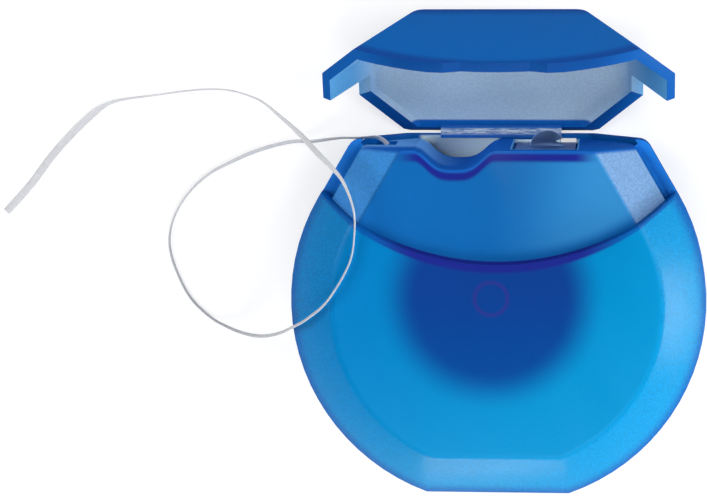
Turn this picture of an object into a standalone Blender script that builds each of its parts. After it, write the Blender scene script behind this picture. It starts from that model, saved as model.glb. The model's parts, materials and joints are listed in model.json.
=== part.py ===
"""A dental floss dispenser that lies on its back with its lid open and some floss pulled out.

Run it with blender --background --python part.py or from the text editor. Units are metres.
Origin: on the bobbin's axis, in the plane of the back face. +X is the object's right, +Y points from
the bobbin to the lid, +Z out of the front face.
"""

import math

import bmesh
import bpy
from mathutils import Matrix, Vector

# Outline of the case, seen from its front
CASE_RADIUS = 0.0260
BOTTOM_FLAT = 0.01796
BOTTOM_DROP = math.sqrt(CASE_RADIUS**2 - (BOTTOM_FLAT / 2) ** 2)
SIDE_ANGLE = math.radians(30)
CORNER_RADIUS = 0.0018
INNER_CORNER_RADIUS = 0.0008

# Depth of the case, from the back face to the front face
CASE_DEPTH = 0.0168
FRONT_BEVEL_WIDTH = 0.00545
FRONT_BEVEL_DEPTH = 0.0048
BACK_BEVEL = 0.0058
PARTING_DEPTH = 0.0083

# Walls and the gap that touching pieces keep
CASE_WALL = 0.0012
LID_WALL = 0.0013
GAP = 0.0003
OVERRUN = 0.0030

# Heights along +Y: the hinge follows the deck, and the top of the lid follows the hinge
DECK_HEIGHT = 0.0194
DECK_THICKNESS = 0.0013
HINGE_RISE = 0.0010
HINGE_HEIGHT = DECK_HEIGHT + HINGE_RISE
LID_RISE = 0.0024
LID_TOP = HINGE_HEIGHT + LID_RISE

# Arc of the shoulder, from its lowest point in the middle up to the sides of the case
SHOULDER_LOW = 0.0054
SHOULDER_RISE = 0.012375
SHOULDER_RADIUS = (CASE_RADIUS**2 + SHOULDER_RISE**2) / (2 * SHOULDER_RISE)

# Hinge between the rear case and the lid
HINGE_DEPTH = 0.0010
HINGE_SLOT = 0.0007
HINGE_SEAT = 0.0006
HINGE_WIDTH = 0.0148
WEB_THICKNESS = 0.0004
RELIEF_ANGLE = math.radians(50)
LID_OPEN_ANGLE = math.radians(70.3)

# Thumb notch in the front edge of the lid
THUMB_DEPTH = 0.00105
THUMB_FLAT = 0.0083
THUMB_RAMP = 0.0033

# Half the width of the deck at its own height, over its full depth and at its front edge
DECK_HALF = (CASE_RADIUS - LID_WALL - GAP - DECK_HEIGHT * math.sin(SIDE_ANGLE)) / math.cos(SIDE_ANGLE)
DECK_FRONT_HALF = DECK_HALF - FRONT_BEVEL_WIDTH / math.cos(SIDE_ANGLE)

# Finger trough in the deck, from the deck's front left corner to just left of the middle
TROUGH_LEFT_MARGIN = 0.00043
TROUGH_RIGHT = -0.00015
TROUGH_WIDTH = DECK_FRONT_HALF - TROUGH_LEFT_MARGIN + TROUGH_RIGHT
TROUGH_CENTRE = TROUGH_RIGHT - TROUGH_WIDTH / 2
TROUGH_DEPTH = 0.0024

# Power that makes the trough's bottom rounder and its sides steeper than a plain wave
TROUGH_FULLNESS = 1.6

# Pocket and plate of the cutter
POCKET_LEFT = 0.0018
POCKET_WIDTH = 0.0081
POCKET_BACK = 0.0022
POCKET_FRONT_MARGIN = 0.0018
POCKET_LENGTH = CASE_DEPTH - LID_WALL - GAP - POCKET_FRONT_MARGIN - POCKET_BACK
POCKET_DEPTH = 0.0010
PLATE_THICKNESS = 0.00035
TONGUE_WIDTH = 0.0044
TONGUE_RISE = 0.0016
TONGUE_DEPTH = 0.0066
TONGUE_CENTRE = 0.0061
CUTTER_NOTCH_WIDTH = 0.0007
CUTTER_NOTCH_DEPTH = 0.0010
WINDOW_WIDTH = 0.0020
WINDOW_DEPTH = 0.0008

# Floss and its way out of the case
FLOSS_WIDTH = 0.0010
OUTLET_MARGIN = 0.00286
OUTLET_X = OUTLET_MARGIN - DECK_HALF
OUTLET_DEPTH = 0.0076
OUTLET_LEAN = math.radians(42)
GROOVE_MARGIN = 0.0012
GROOVE_DEPTH = 0.0005
RIM_NOTCH_DEPTH = 0.0060
RIM_NOTCH_WIDTH = 0.0026
LEAD_BEND = 0.0030
LEAD_DEPTH = 0.0005

# Hub, spindle and bobbin
HUB_RADIUS = 0.00225
HUB_BORE_RADIUS = 0.00145
COLLAR_RADIUS = 0.0034
BOBBIN_BACK = 0.0024
BOBBIN_FRONT_ROOM = 0.0022
BOBBIN_WIDTH = CASE_DEPTH - CASE_WALL - BOBBIN_FRONT_ROOM - BOBBIN_BACK
CORE_RADIUS = 0.0045
CORE_RIM_RADIUS = 0.0052
CORE_RIM_WIDTH = 0.0005
WOUND_RADIUS = 0.0110
SPINDLE_LENGTH = 0.0045

# Outer layer of turns on the bobbin
TURN_DIAMETER = 0.0008
TURN_COUNT = 7
TURN_POINTS = 24

# Route of the free floss, from the outlet to its cut end, chosen by hand: X, Y and Z of each point
FREE_ROUTE = [
    (-0.01397, 0.01925, 0.00760),
    (-0.01455, 0.01982, 0.00755),
    (-0.01545, 0.02018, 0.00730),
    (-0.01670, 0.02010, 0.00680),
    (-0.01810, 0.01993, 0.00600),
    (-0.01990, 0.01980, 0.00475),
    (-0.02158, 0.01950, 0.00340),
    (-0.02420, 0.01900, 0.00180),
    (-0.02714, 0.01881, 0.00080),
    (-0.03123, 0.01770, 0.00050),
    (-0.03489, 0.01613, 0.00050),
    (-0.03817, 0.01430, 0.00050),
    (-0.04109, 0.01129, 0.00050),
    (-0.04285, 0.00761, 0.00050),
    (-0.04285, 0.00381, 0.00050),
    (-0.04077, -0.00118, 0.00050),
    (-0.03804, -0.00405, 0.00060),
    (-0.03560, -0.00530, 0.00135),
    (-0.03320, -0.00582, 0.00310),
    (-0.03060, -0.00565, 0.00610),
    (-0.02796, -0.00463, 0.00980),
    (-0.02562, -0.00311, 0.01350),
    (-0.02349, -0.00158, 0.01560),
    (-0.02076, 0.00105, 0.01760),
    (-0.01811, 0.00558, 0.01762),
    (-0.01740, 0.00940, 0.01780),
    (-0.01745, 0.01274, 0.01880),
    (-0.01867, 0.01595, 0.01870),
    (-0.02040, 0.01775, 0.01705),
    (-0.02209, 0.01897, 0.01510),
    (-0.02477, 0.02090, 0.01080),
    (-0.02803, 0.02269, 0.00530),
    (-0.03169, 0.02458, 0.00130),
    (-0.03709, 0.02559, 0.00050),
    (-0.04556, 0.02467, 0.00050),
    (-0.05040, 0.02382, 0.00050),
    (-0.05358, 0.02168, 0.00050),
    (-0.05787, 0.01737, 0.00050),
    (-0.06126, 0.01304, 0.00050),
    (-0.06452, 0.00948, 0.00050),
]

# Smoothness of round stretches
ARC_STEPS = 22
CORNER_STEPS = 4
SHOULDER_STEPS = 28
ROUND_STEPS = 48
TROUGH_STEPS = 14
ROUTE_STEPS = 2

# Millimetres in a metre, for the printed sizes
MM_PER_METRE = 1000

CASE_BLUE = (0.0, 0.235, 0.62)
CASE_BLUE_BACK = (0.0, 0.20, 0.56)
LID_BLUE = (0.01, 0.13, 0.45)
CORE_WHITE = (0.80, 0.82, 0.84)
FLOSS_WHITE = (0.86, 0.87, 0.88)
STRESS_SILVER = (0.62, 0.66, 0.74)
CUTTER_STEEL = (0.30, 0.33, 0.38)


def clear_scene():
    for old in list(bpy.data.objects):
        bpy.data.objects.remove(old)


def material(name, colour, roughness, metallic=0.0, transmission=0.0):
    made = bpy.data.materials.new(name)
    made.use_nodes = True
    shader = made.node_tree.nodes["Principled BSDF"]
    shader.inputs["Base Color"].default_value = (*colour, 1.0)
    shader.inputs["Roughness"].default_value = roughness
    shader.inputs["Metallic"].default_value = metallic
    shader.inputs["Transmission Weight"].default_value = transmission
    return made


def mesh_object(name, mesh):
    made = bpy.data.objects.new(name, mesh)
    bpy.context.scene.collection.objects.link(made)
    return made


def finished_mesh(name, work):
    """A mesh from bmesh work, with its faces pointing out."""
    bmesh.ops.recalc_face_normals(work, faces=work.faces)
    mesh = bpy.data.meshes.new(name)
    work.to_mesh(mesh)
    work.free()
    return mesh


def stacked(name, rings):
    """A closed body through rings of as many points each, with flat ends."""
    work = bmesh.new()
    loops = [[work.verts.new(point) for point in ring] for ring in rings]
    work.faces.new(loops[0])
    work.faces.new(loops[-1])
    for low, high in zip(loops, loops[1:]):
        for step in range(len(low)):
            after = (step + 1) % len(low)
            work.faces.new((low[step], low[after], high[after], high[step]))
    return mesh_object(name, finished_mesh(name, work))


def slab(name, outline, low, high):
    """An outline in X and Y, extruded along Z."""
    return stacked(name, [[(x, y, z) for x, y in outline] for z in (low, high)])


def beam(name, section, left, right):
    """A section in Y and Z, extruded along X."""
    return stacked(name, [[(x, y, z) for y, z in section] for x in (left, right)])


def box(name, x_span, y_span, z_span):
    (x0, x1), (y0, y1) = x_span, y_span
    return slab(name, [(x0, y0), (x1, y0), (x1, y1), (x0, y1)], *z_span)


def turned(name, profile):
    """A closed profile of radii and heights turned about Z, with a hole where it keeps off the axis."""
    work = bmesh.new()
    verts = [work.verts.new((radius, 0.0, height)) for radius, height in profile]
    edges = [work.edges.new((a, b)) for a, b in zip(verts, verts[1:] + verts[:1])]
    bmesh.ops.spin(
        work, geom=verts + edges, cent=(0, 0, 0), axis=(0, 0, 1), angle=math.tau, steps=ROUND_STEPS,
        use_merge=True, use_duplicate=False,
    )
    return mesh_object(name, finished_mesh(name, work))


def rod(name, radius, low, high):
    """A round rod along Z, on the bobbin's axis."""
    ring = [
        (radius * math.cos(turn), radius * math.sin(turn))
        for turn in (math.tau * step / ROUND_STEPS for step in range(ROUND_STEPS))
    ]
    return slab(name, ring, low, high)


def apply_tool(target, tool, operation):
    """A Boolean that stays on its object. Its tool is left out of the model."""
    modifier = target.modifiers.new(tool.name, "BOOLEAN")
    modifier.operation = operation
    modifier.solver = "EXACT"
    modifier.object = tool
    tool.hide_render = True
    tool.display_type = "WIRE"


def cut(target, *tools):
    for tool in tools:
        apply_tool(target, tool, "DIFFERENCE")


def add(target, *tools):
    for tool in tools:
        apply_tool(target, tool, "UNION")


def smooth(piece, angle=math.radians(30)):
    piece.data.shade_smooth()
    piece.data.set_sharp_from_angle(angle=angle)


def case_outline(inset, top, corner):
    """The case's outline drawn in by inset and closed by a straight edge at the height top."""
    radius = CASE_RADIUS - inset
    start = -math.asin((BOTTOM_DROP - inset) / radius)
    right = []
    for step in range(ARC_STEPS + 1):
        angle = start + (SIDE_ANGLE - start) * step / ARC_STEPS
        right.append((radius * math.cos(angle), radius * math.sin(angle)))
    centre_y = top - corner
    centre_x = (radius - corner - centre_y * math.sin(SIDE_ANGLE)) / math.cos(SIDE_ANGLE)
    for step in range(CORNER_STEPS + 1):
        angle = SIDE_ANGLE + (math.pi / 2 - SIDE_ANGLE) * step / CORNER_STEPS
        right.append((centre_x + corner * math.cos(angle), centre_y + corner * math.sin(angle)))
    left = [(-x, y) for x, y in reversed(right)]
    return right + left


def skin_levels(depth):
    """Height and inset of the edges of the skin that lies this deep inside the outer one."""
    bevel = math.atan2(FRONT_BEVEL_WIDTH, FRONT_BEVEL_DEPTH)
    back_shift = depth * math.tan(math.pi / 8)
    side_shift = depth * math.tan(bevel / 2)
    front_shift = depth * math.tan((math.pi / 2 - bevel) / 2)
    return [
        (depth, BACK_BEVEL + back_shift),
        (BACK_BEVEL + back_shift, depth),
        (CASE_DEPTH - FRONT_BEVEL_DEPTH - side_shift, depth),
        (CASE_DEPTH - depth, FRONT_BEVEL_WIDTH + front_shift),
    ]


def levels_between(levels, low, high):
    """The part of those levels from the height low to the height high."""
    def inset_at(height):
        for (z0, i0), (z1, i1) in zip(levels, levels[1:]):
            if z0 <= height <= z1:
                return i0 + (i1 - i0) * (height - z0) / (z1 - z0)
        return levels[0][1] if height < levels[0][0] else levels[-1][1]

    low = max(low, levels[0][0])
    high = min(high, levels[-1][0])
    inner = [level for level in levels if low < level[0] < high]
    return [(low, inset_at(low)), *inner, (high, inset_at(high))]


def case_body(name, depth, top, low=0.0, high=CASE_DEPTH):
    """The space inside the skin of this depth, up to the height top."""
    corner = CORNER_RADIUS if depth == 0.0 else INNER_CORNER_RADIUS
    rings = [
        [(x, y, z) for x, y in case_outline(inset, top, corner)]
        for z, inset in levels_between(skin_levels(depth), low, high)
    ]
    return stacked(name, rings)


def shoulder_points(offset, notch=0.0):
    """The shoulder's arc moved down by offset, from left to right, with a thumb notch of this depth.

    It ends at the sides of the case, and runs on level past them."""
    centre = SHOULDER_LOW + SHOULDER_RADIUS
    radius = SHOULDER_RADIUS + offset
    reach = math.asin(CASE_RADIUS / radius)
    points = []
    for step in range(SHOULDER_STEPS + 1):
        angle = reach * (2 * step / SHOULDER_STEPS - 1)
        x = radius * math.sin(angle)
        from_flat = (abs(x) - THUMB_FLAT / 2) / THUMB_RAMP
        ramp = 1.0 - min(1.0, max(0.0, from_flat))
        rise = notch * ramp * ramp * (3.0 - 2.0 * ramp)
        points.append((x, centre - radius * math.cos(angle) + rise))
    past = CASE_RADIUS + OVERRUN
    return [(-past, points[0][1]), *points, (past, points[-1][1])]


def above_shoulder(name, offset):
    """The space above the shoulder's arc, from just behind the parting plane to past the front."""
    arc = shoulder_points(offset)
    right, left = arc[-1][0], arc[0][0]
    ceiling = LID_TOP + OVERRUN
    outline = [*arc, (right, ceiling), (left, ceiling)]
    return slab(name, outline, PARTING_DEPTH - OVERRUN, CASE_DEPTH + OVERRUN)


def below_shoulder(name, offset, notch, low):
    """The space below the shoulder's arc, from the height low to past the front."""
    arc = shoulder_points(offset, notch)
    right, left = arc[-1][0], arc[0][0]
    floor = -(CASE_RADIUS + OVERRUN)
    return slab(name, [*arc, (right, floor), (left, floor)], low, CASE_DEPTH + OVERRUN)


def trough_outline(drop):
    """The trough's S-shaped section lowered by drop, closed above the deck."""
    half = TROUGH_WIDTH / 2 + drop
    points = []
    for step in range(TROUGH_STEPS + 1):
        share = 2 * step / TROUGH_STEPS - 1
        fall = TROUGH_DEPTH * (1.0 + math.cos(math.pi * abs(share) ** TROUGH_FULLNESS)) / 2
        points.append((TROUGH_CENTRE + half * share, DECK_HEIGHT - fall - drop))
    return points


def trough_room():
    edge = trough_outline(0.0)
    ceiling = DECK_HEIGHT + OVERRUN
    outline = [*edge, (edge[-1][0], ceiling), (edge[0][0], ceiling)]
    return slab("trough_room", outline, -OVERRUN, CASE_DEPTH + OVERRUN)


def trough_floor(name):
    """The solid left under the deck so that the trough keeps its wall."""
    edge = trough_outline(DECK_THICKNESS)
    ceiling = DECK_HEIGHT - DECK_THICKNESS / 2
    outline = [*edge, (edge[-1][0], ceiling), (edge[0][0], ceiling)]
    return slab(name, outline, -OVERRUN, CASE_DEPTH + OVERRUN)


def pocket_floor(name):
    """The solid left under the deck so that the cutter's pocket keeps its wall."""
    return box(
        name,
        (POCKET_LEFT - CASE_WALL, POCKET_LEFT + POCKET_WIDTH + CASE_WALL),
        (DECK_HEIGHT - POCKET_DEPTH - DECK_THICKNESS, DECK_HEIGHT - DECK_THICKNESS / 2),
        (-OVERRUN, POCKET_BACK + POCKET_LENGTH + CASE_WALL),
    )


def pocket_room():
    return box(
        "pocket_room",
        (POCKET_LEFT, POCKET_LEFT + POCKET_WIDTH),
        (DECK_HEIGHT - POCKET_DEPTH, DECK_HEIGHT + OVERRUN),
        (POCKET_BACK, POCKET_BACK + POCKET_LENGTH),
    )


def outlet_groove():
    """The shallow groove in the deck from the floss outlet to the rim's notch."""
    return box(
        "outlet_groove",
        (-CASE_RADIUS, OUTLET_X + GROOVE_MARGIN),
        (DECK_HEIGHT - GROOVE_DEPTH, DECK_HEIGHT + OVERRUN),
        (RIM_NOTCH_DEPTH - RIM_NOTCH_WIDTH / 2, OUTLET_DEPTH + GROOVE_MARGIN),
    )


def outlet_direction():
    """The way the floss points as it leaves the deck: up, and leaning to the left."""
    return Vector((-math.sin(OUTLET_LEAN), math.cos(OUTLET_LEAN), 0.0))


def outlet_hole():
    """The leaning hole that the floss leaves by, through the deck."""
    radius = FLOSS_WIDTH / 2 + GAP
    mouth = Vector((OUTLET_X, DECK_HEIGHT, OUTLET_DEPTH))
    along = outlet_direction()
    across = Vector((along.y, -along.x, 0.0))
    out = Vector((0.0, 0.0, 1.0))
    turns = [math.tau * step / ROUND_STEPS for step in range(ROUND_STEPS)]
    rings = []
    for reach in (-DECK_THICKNESS - OVERRUN, OVERRUN):
        centre = mouth + along * reach
        rings.append([centre + (across * math.cos(turn) + out * math.sin(turn)) * radius for turn in turns])
    return stacked("outlet_hole", rings)


def rear_room():
    """What is cut away behind the parting plane and under the deck, with the deck's two bumps left."""
    room = box(
        "rear_room",
        (-CASE_RADIUS - OVERRUN, CASE_RADIUS + OVERRUN),
        (-CASE_RADIUS - OVERRUN, DECK_HEIGHT - DECK_THICKNESS),
        (-OVERRUN, PARTING_DEPTH + GAP / 2),
    )
    cut(room, trough_floor("rear_trough_floor"), pocket_floor("rear_pocket_floor"))
    return room


def neck_room(neck_depth):
    """The hollow of the neck and the lower body, open towards the rear case."""
    room = case_body(
        "neck_room", neck_depth + CASE_WALL, DECK_HEIGHT - DECK_THICKNESS, low=PARTING_DEPTH - OVERRUN
    )
    cut(room, trough_floor("front_trough_floor"), pocket_floor("front_pocket_floor"))
    return room


def body_room():
    """The hollow of the lower body, under the shoulder."""
    room = case_body("body_room", CASE_WALL, LID_TOP, low=PARTING_DEPTH - OVERRUN)
    cut(room, above_shoulder("above_inner_shoulder", CASE_WALL))
    return room


def front_case():
    neck_depth = LID_WALL + GAP
    front_plane = PARTING_DEPTH + GAP / 2
    case = case_body("front_case", 0.0, LID_TOP, low=front_plane)
    neck = case_body("neck", neck_depth, DECK_HEIGHT)
    cut(neck, rear_room())
    cut(case, above_shoulder("above_shoulder", 0.0))
    add(case, neck)
    cut(case, body_room(), neck_room(neck_depth))
    hub_back = BOBBIN_BACK + GAP
    collar_back = BOBBIN_BACK + BOBBIN_WIDTH + GAP
    face_inside = CASE_DEPTH - CASE_WALL / 2
    add(
        case,
        rod("hub", HUB_RADIUS, hub_back, face_inside),
        rod("front_collar", COLLAR_RADIUS, collar_back, face_inside),
    )
    cut(
        case,
        rod("hub_bore", HUB_BORE_RADIUS, hub_back - OVERRUN, CASE_DEPTH - CASE_WALL),
        trough_room(),
        pocket_room(),
        pocket_window("deck_window", DECK_HEIGHT + OVERRUN),
        outlet_groove(),
        outlet_hole(),
    )
    case.data.materials.append(material("translucent blue plastic", CASE_BLUE, 0.35, transmission=0.5))
    smooth(case)
    return case


def hinge_relief(name, direction):
    """The wedge cut off the back of a rim for the lid to fold back: -1 for the case, 1 for the lid."""
    rim = HINGE_HEIGHT + direction * HINGE_SLOT / 2
    reach = HINGE_DEPTH + OVERRUN
    past = rim - direction * OVERRUN
    section = [
        (rim, HINGE_DEPTH),
        (rim + direction * reach * math.tan(RELIEF_ANGLE), HINGE_DEPTH - reach),
        (past, HINGE_DEPTH - reach),
        (past, HINGE_DEPTH),
    ]
    half = CASE_RADIUS + OVERRUN
    return beam(name, section, -half, half)


def hinge_seat_room(name, direction):
    """The notch in a rim where the web of the hinge is seated."""
    rim = HINGE_HEIGHT + direction * HINGE_SLOT / 2
    heights = sorted((rim - direction * OVERRUN, rim + direction * HINGE_SEAT))
    half = HINGE_WIDTH / 2 + GAP
    return box(name, (-half, half), heights, (-OVERRUN, HINGE_DEPTH + WEB_THICKNESS + GAP))


def rim_notch():
    """The notch in the left rim that lets the floss out under the closed lid."""
    low = DECK_HEIGHT - GAP
    return box(
        "rim_notch",
        (-CASE_RADIUS, OUTLET_X),
        (low, HINGE_HEIGHT + OVERRUN),
        (RIM_NOTCH_DEPTH - RIM_NOTCH_WIDTH / 2, RIM_NOTCH_DEPTH + RIM_NOTCH_WIDTH / 2),
    )


def pocket_window(name, top):
    """The way through behind the cutter, from the pocket out of the case's back."""
    right = POCKET_LEFT + POCKET_WIDTH - GAP
    return box(
        name,
        (right - WINDOW_WIDTH, right),
        (DECK_HEIGHT - WINDOW_DEPTH, top),
        (-OVERRUN, POCKET_BACK + GAP),
    )


def rear_case():
    rim = HINGE_HEIGHT - HINGE_SLOT / 2
    rear_plane = PARTING_DEPTH - GAP / 2
    case = case_body("rear_case", 0.0, rim, high=rear_plane)
    hollow = case_body("rear_hollow", CASE_WALL, rim + OVERRUN, high=PARTING_DEPTH + OVERRUN)
    cut(case, hollow)
    spindle_radius = HUB_BORE_RADIUS - GAP
    spindle_top = BOBBIN_BACK + GAP + SPINDLE_LENGTH
    add(
        case,
        rod("back_collar", COLLAR_RADIUS, CASE_WALL / 2, BOBBIN_BACK - GAP),
        rod("spindle", spindle_radius, CASE_WALL / 2, spindle_top),
    )
    cut(
        case,
        hinge_relief("case_relief", -1),
        hinge_seat_room("case_hinge_seat", -1),
        rim_notch(),
        pocket_window("rear_window", DECK_HEIGHT),
    )
    blue = material("translucent blue plastic, back", CASE_BLUE_BACK, 0.35, transmission=0.5)
    case.data.materials.append(blue)
    smooth(case)
    return case


def hinge_axis():
    """The empty on the hinge's axis that carries the lid, turned to where the lid lies open."""
    axis = bpy.data.objects.new("lid_hinge_axis", None)
    bpy.context.scene.collection.objects.link(axis)
    axis.location = (0.0, HINGE_HEIGHT, HINGE_DEPTH)
    axis.rotation_euler.x = -LID_OPEN_ANGLE
    return axis


def hang_on(axis, *pieces):
    """Carries pieces modelled with the lid closed over to the hinge's axis."""
    for piece in pieces:
        piece.data.transform(Matrix.Translation((0.0, -HINGE_HEIGHT, -HINGE_DEPTH)))
        piece.parent = axis


def lid_back_room():
    """What is cut off the lid's back and top so that the open lid lies on what the case lies on."""
    sine, cosine = math.sin(LID_OPEN_ANGLE), math.cos(LID_OPEN_ANGLE)
    top = LID_TOP - HINGE_HEIGHT + OVERRUN
    low = -HINGE_SLOT

    def depth_at(height):
        return (height * sine - HINGE_DEPTH) / cosine

    far = depth_at(low) - OVERRUN
    section = [(low, depth_at(low)), (top, depth_at(top)), (top, far), (low, far)]
    moved = [(HINGE_HEIGHT + height, HINGE_DEPTH + depth) for height, depth in section]
    half = CASE_RADIUS + OVERRUN
    return beam("lid_back_room", moved, -half, half)


def lid():
    axis = hinge_axis()
    cover = case_body("lid", 0.0, LID_TOP)
    hollow = case_body("lid_hollow", LID_WALL, LID_TOP - LID_WALL)
    leg_plane = PARTING_DEPTH + GAP
    rim = HINGE_HEIGHT + HINGE_SLOT / 2
    half = CASE_RADIUS + OVERRUN
    tools = [
        hollow,
        below_shoulder("below_lid", -GAP, THUMB_DEPTH, leg_plane - OVERRUN),
        box("below_lid_rim", (-half, half), (-half, rim), (-OVERRUN, leg_plane)),
        hinge_relief("lid_relief", 1),
        hinge_seat_room("lid_hinge_seat", 1),
        lid_back_room(),
    ]
    cut(cover, *tools)
    hang_on(axis, cover, *tools)
    cover.data.materials.append(material("translucent blue plastic, lid", LID_BLUE, 0.35, transmission=0.4))
    smooth(cover)
    return cover


def living_hinge():
    """The bent web between the two hinge seats, in the shape that it has with the lid open."""
    seat_reach = HINGE_SLOT / 2 + HINGE_SEAT - GAP
    middle = WEB_THICKNESS / 2
    case_end = Vector((HINGE_HEIGHT - seat_reach, HINGE_DEPTH + middle))
    sine, cosine = math.sin(LID_OPEN_ANGLE), math.cos(LID_OPEN_ANGLE)
    along = Vector((cosine, -sine))
    across = Vector((sine, cosine))
    lid_end = Vector((HINGE_HEIGHT, HINGE_DEPTH)) + along * seat_reach + across * middle
    corner = Vector((HINGE_HEIGHT, HINGE_DEPTH)) + (Vector((0.0, 1.0)) + across) * middle
    steps = CORNER_STEPS * 2
    line = []
    for step in range(steps + 1):
        share = step / steps
        line.append(case_end * (1 - share) ** 2 + corner * (2 * share * (1 - share)) + lid_end * share**2)
    front, back = [], []
    for step, point in enumerate(line):
        ahead = line[min(step + 1, steps)] - line[max(step - 1, 0)]
        side = Vector((-ahead.y, ahead.x)).normalized() * middle
        front.append(point + side)
        back.append(point - side)
    section = [tuple(point) for point in front + back[::-1]]
    web = beam("living_hinge", section, -HINGE_WIDTH / 2, HINGE_WIDTH / 2)
    web.data.materials.append(material("stress-whitened plastic", STRESS_SILVER, 0.3))
    smooth(web)
    return web


def cutter():
    """The stamped plate in its pocket, with the half-round tongue bent up from it."""
    floor = DECK_HEIGHT - POCKET_DEPTH + GAP
    top = floor + PLATE_THICKNESS
    left, right = POCKET_LEFT + GAP, POCKET_LEFT + POCKET_WIDTH - GAP
    back, front = POCKET_BACK + GAP, POCKET_BACK + POCKET_LENGTH - GAP
    plate = box("cutter", (left, right), (floor, top), (back, front))
    half = TONGUE_WIDTH / 2
    rise = DECK_HEIGHT + TONGUE_RISE - top
    edge = [(TONGUE_CENTRE - half, floor + PLATE_THICKNESS / 2)]
    notch_top = top + rise / 2
    notch_x = TONGUE_CENTRE + half * math.sqrt(1 - ((notch_top - top) / rise) ** 2)
    edge.append((TONGUE_CENTRE + half, floor + PLATE_THICKNESS / 2))
    edge.append((TONGUE_CENTRE + half, top))
    edge.append((notch_x, notch_top - CUTTER_NOTCH_WIDTH))
    edge.append((notch_x - CUTTER_NOTCH_DEPTH, notch_top - CUTTER_NOTCH_WIDTH / 2))
    start = math.asin((notch_top - top) / rise)
    steps = ARC_STEPS // 2
    for step in range(steps + 1):
        angle = start + (math.pi - start) * step / steps
        edge.append((TONGUE_CENTRE + half * math.cos(angle), top + rise * math.sin(angle)))
    tongue = slab("tongue", edge, TONGUE_DEPTH - PLATE_THICKNESS / 2, TONGUE_DEPTH + PLATE_THICKNESS / 2)
    add(plate, tongue)
    plate.data.materials.append(material("stamped steel", CUTTER_STEEL, 0.3, metallic=1.0))
    smooth(plate)
    return plate


def bobbin_core():
    """The tube that turns on the hub, with a low rim at each end."""
    low, high = BOBBIN_BACK, BOBBIN_BACK + BOBBIN_WIDTH
    bore = HUB_RADIUS + GAP
    profile = [
        (bore, low),
        (CORE_RIM_RADIUS, low),
        (CORE_RIM_RADIUS, low + CORE_RIM_WIDTH),
        (CORE_RADIUS, low + CORE_RIM_WIDTH),
        (CORE_RADIUS, high - CORE_RIM_WIDTH),
        (CORE_RIM_RADIUS, high - CORE_RIM_WIDTH),
        (CORE_RIM_RADIUS, high),
        (bore, high),
    ]
    core = turned("bobbin_core", profile)
    core.data.materials.append(material("white polypropylene", CORE_WHITE, 0.45))
    smooth(core)
    return core


def floss_package():
    """The inner body of the wound floss."""
    low = BOBBIN_BACK + CORE_RIM_WIDTH + GAP
    high = BOBBIN_BACK + BOBBIN_WIDTH - CORE_RIM_WIDTH - GAP
    inner = CORE_RADIUS + GAP
    section = [(inner, low), (WOUND_RADIUS, low), (WOUND_RADIUS, high), (inner, high)]
    package = turned("floss_package", section)
    package.data.materials.append(material("waxed floss, wound", FLOSS_WHITE, 0.6))
    smooth(package)
    return package


def cord_object(name, points, diameter, resolution):
    curve = bpy.data.curves.new(name, "CURVE")
    curve.dimensions = "3D"
    curve.bevel_depth = diameter / 2
    curve.bevel_resolution = resolution
    curve.use_fill_caps = True
    spline = curve.splines.new("POLY")
    spline.points.add(len(points) - 1)
    for target, point in zip(spline.points, points):
        target.co = (*point, 1.0)
    return mesh_object(name, curve)


def least_gap(points, diameter, apart):
    """The least gap of a wound tube to itself, measured from points that lie at least apart along it."""
    nearest = min(
        (Vector(a) - Vector(b)).length
        for step, a in enumerate(points)
        for b in points[step + apart:]
    )
    return nearest - diameter


def turn_route():
    """The outer layer of turns as one helix, with a straight end of one diameter at each side."""
    radius = WOUND_RADIUS + GAP + TURN_DIAMETER / 2
    margin = CORE_RIM_WIDTH + GAP + TURN_DIAMETER / 2
    low = BOBBIN_BACK + margin
    high = BOBBIN_BACK + BOBBIN_WIDTH - margin
    count = TURN_COUNT * TURN_POINTS
    points = []
    for step in range(count + 1):
        turn = math.tau * step / TURN_POINTS
        height = low + (high - low) * step / count
        points.append(Vector((radius * math.cos(turn), radius * math.sin(turn), height)))
    first = points[0] + Vector((0.0, -TURN_DIAMETER, 0.0))
    last = points[-1] + Vector((0.0, TURN_DIAMETER, 0.0))
    return [first, *points, last]


def floss_turns():
    points = turn_route()
    gap = least_gap(points, TURN_DIAMETER, TURN_POINTS // 2)
    print(f"floss_turns: least gap to itself {gap * MM_PER_METRE:.2f} mm")
    turns = cord_object("floss_turns", points, TURN_DIAMETER, 1)
    turns.data.materials.append(material("waxed floss, outer turns", FLOSS_WHITE, 0.6))
    return turns


def floss_lead():
    """The stretch that rises beside the wound floss and bends into the outlet."""
    swept = WOUND_RADIUS + GAP + TURN_DIAMETER
    beside = -(swept + GAP + FLOSS_WIDTH / 2)
    along = outlet_direction()
    end = Vector((OUTLET_X, DECK_HEIGHT, OUTLET_DEPTH)) - along * LEAD_DEPTH
    corner = end - along * max(FLOSS_WIDTH, (end.x - beside) / along.x)
    below = corner - Vector((0.0, LEAD_BEND, 0.0))
    start = Vector((beside, 0.0, OUTLET_DEPTH))
    before = end - along * FLOSS_WIDTH
    bend = []
    for step in range(CORNER_STEPS + 1):
        share = step / CORNER_STEPS
        bend.append(below * (1 - share) ** 2 + corner * (2 * share * (1 - share)) + before * share**2)
    lead = cord_object("floss_lead", [start, start.lerp(below, 0.5), *bend, end], FLOSS_WIDTH, 2)
    lead.data.materials.append(material("waxed floss, inner lead", FLOSS_WHITE, 0.6))
    return lead


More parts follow.
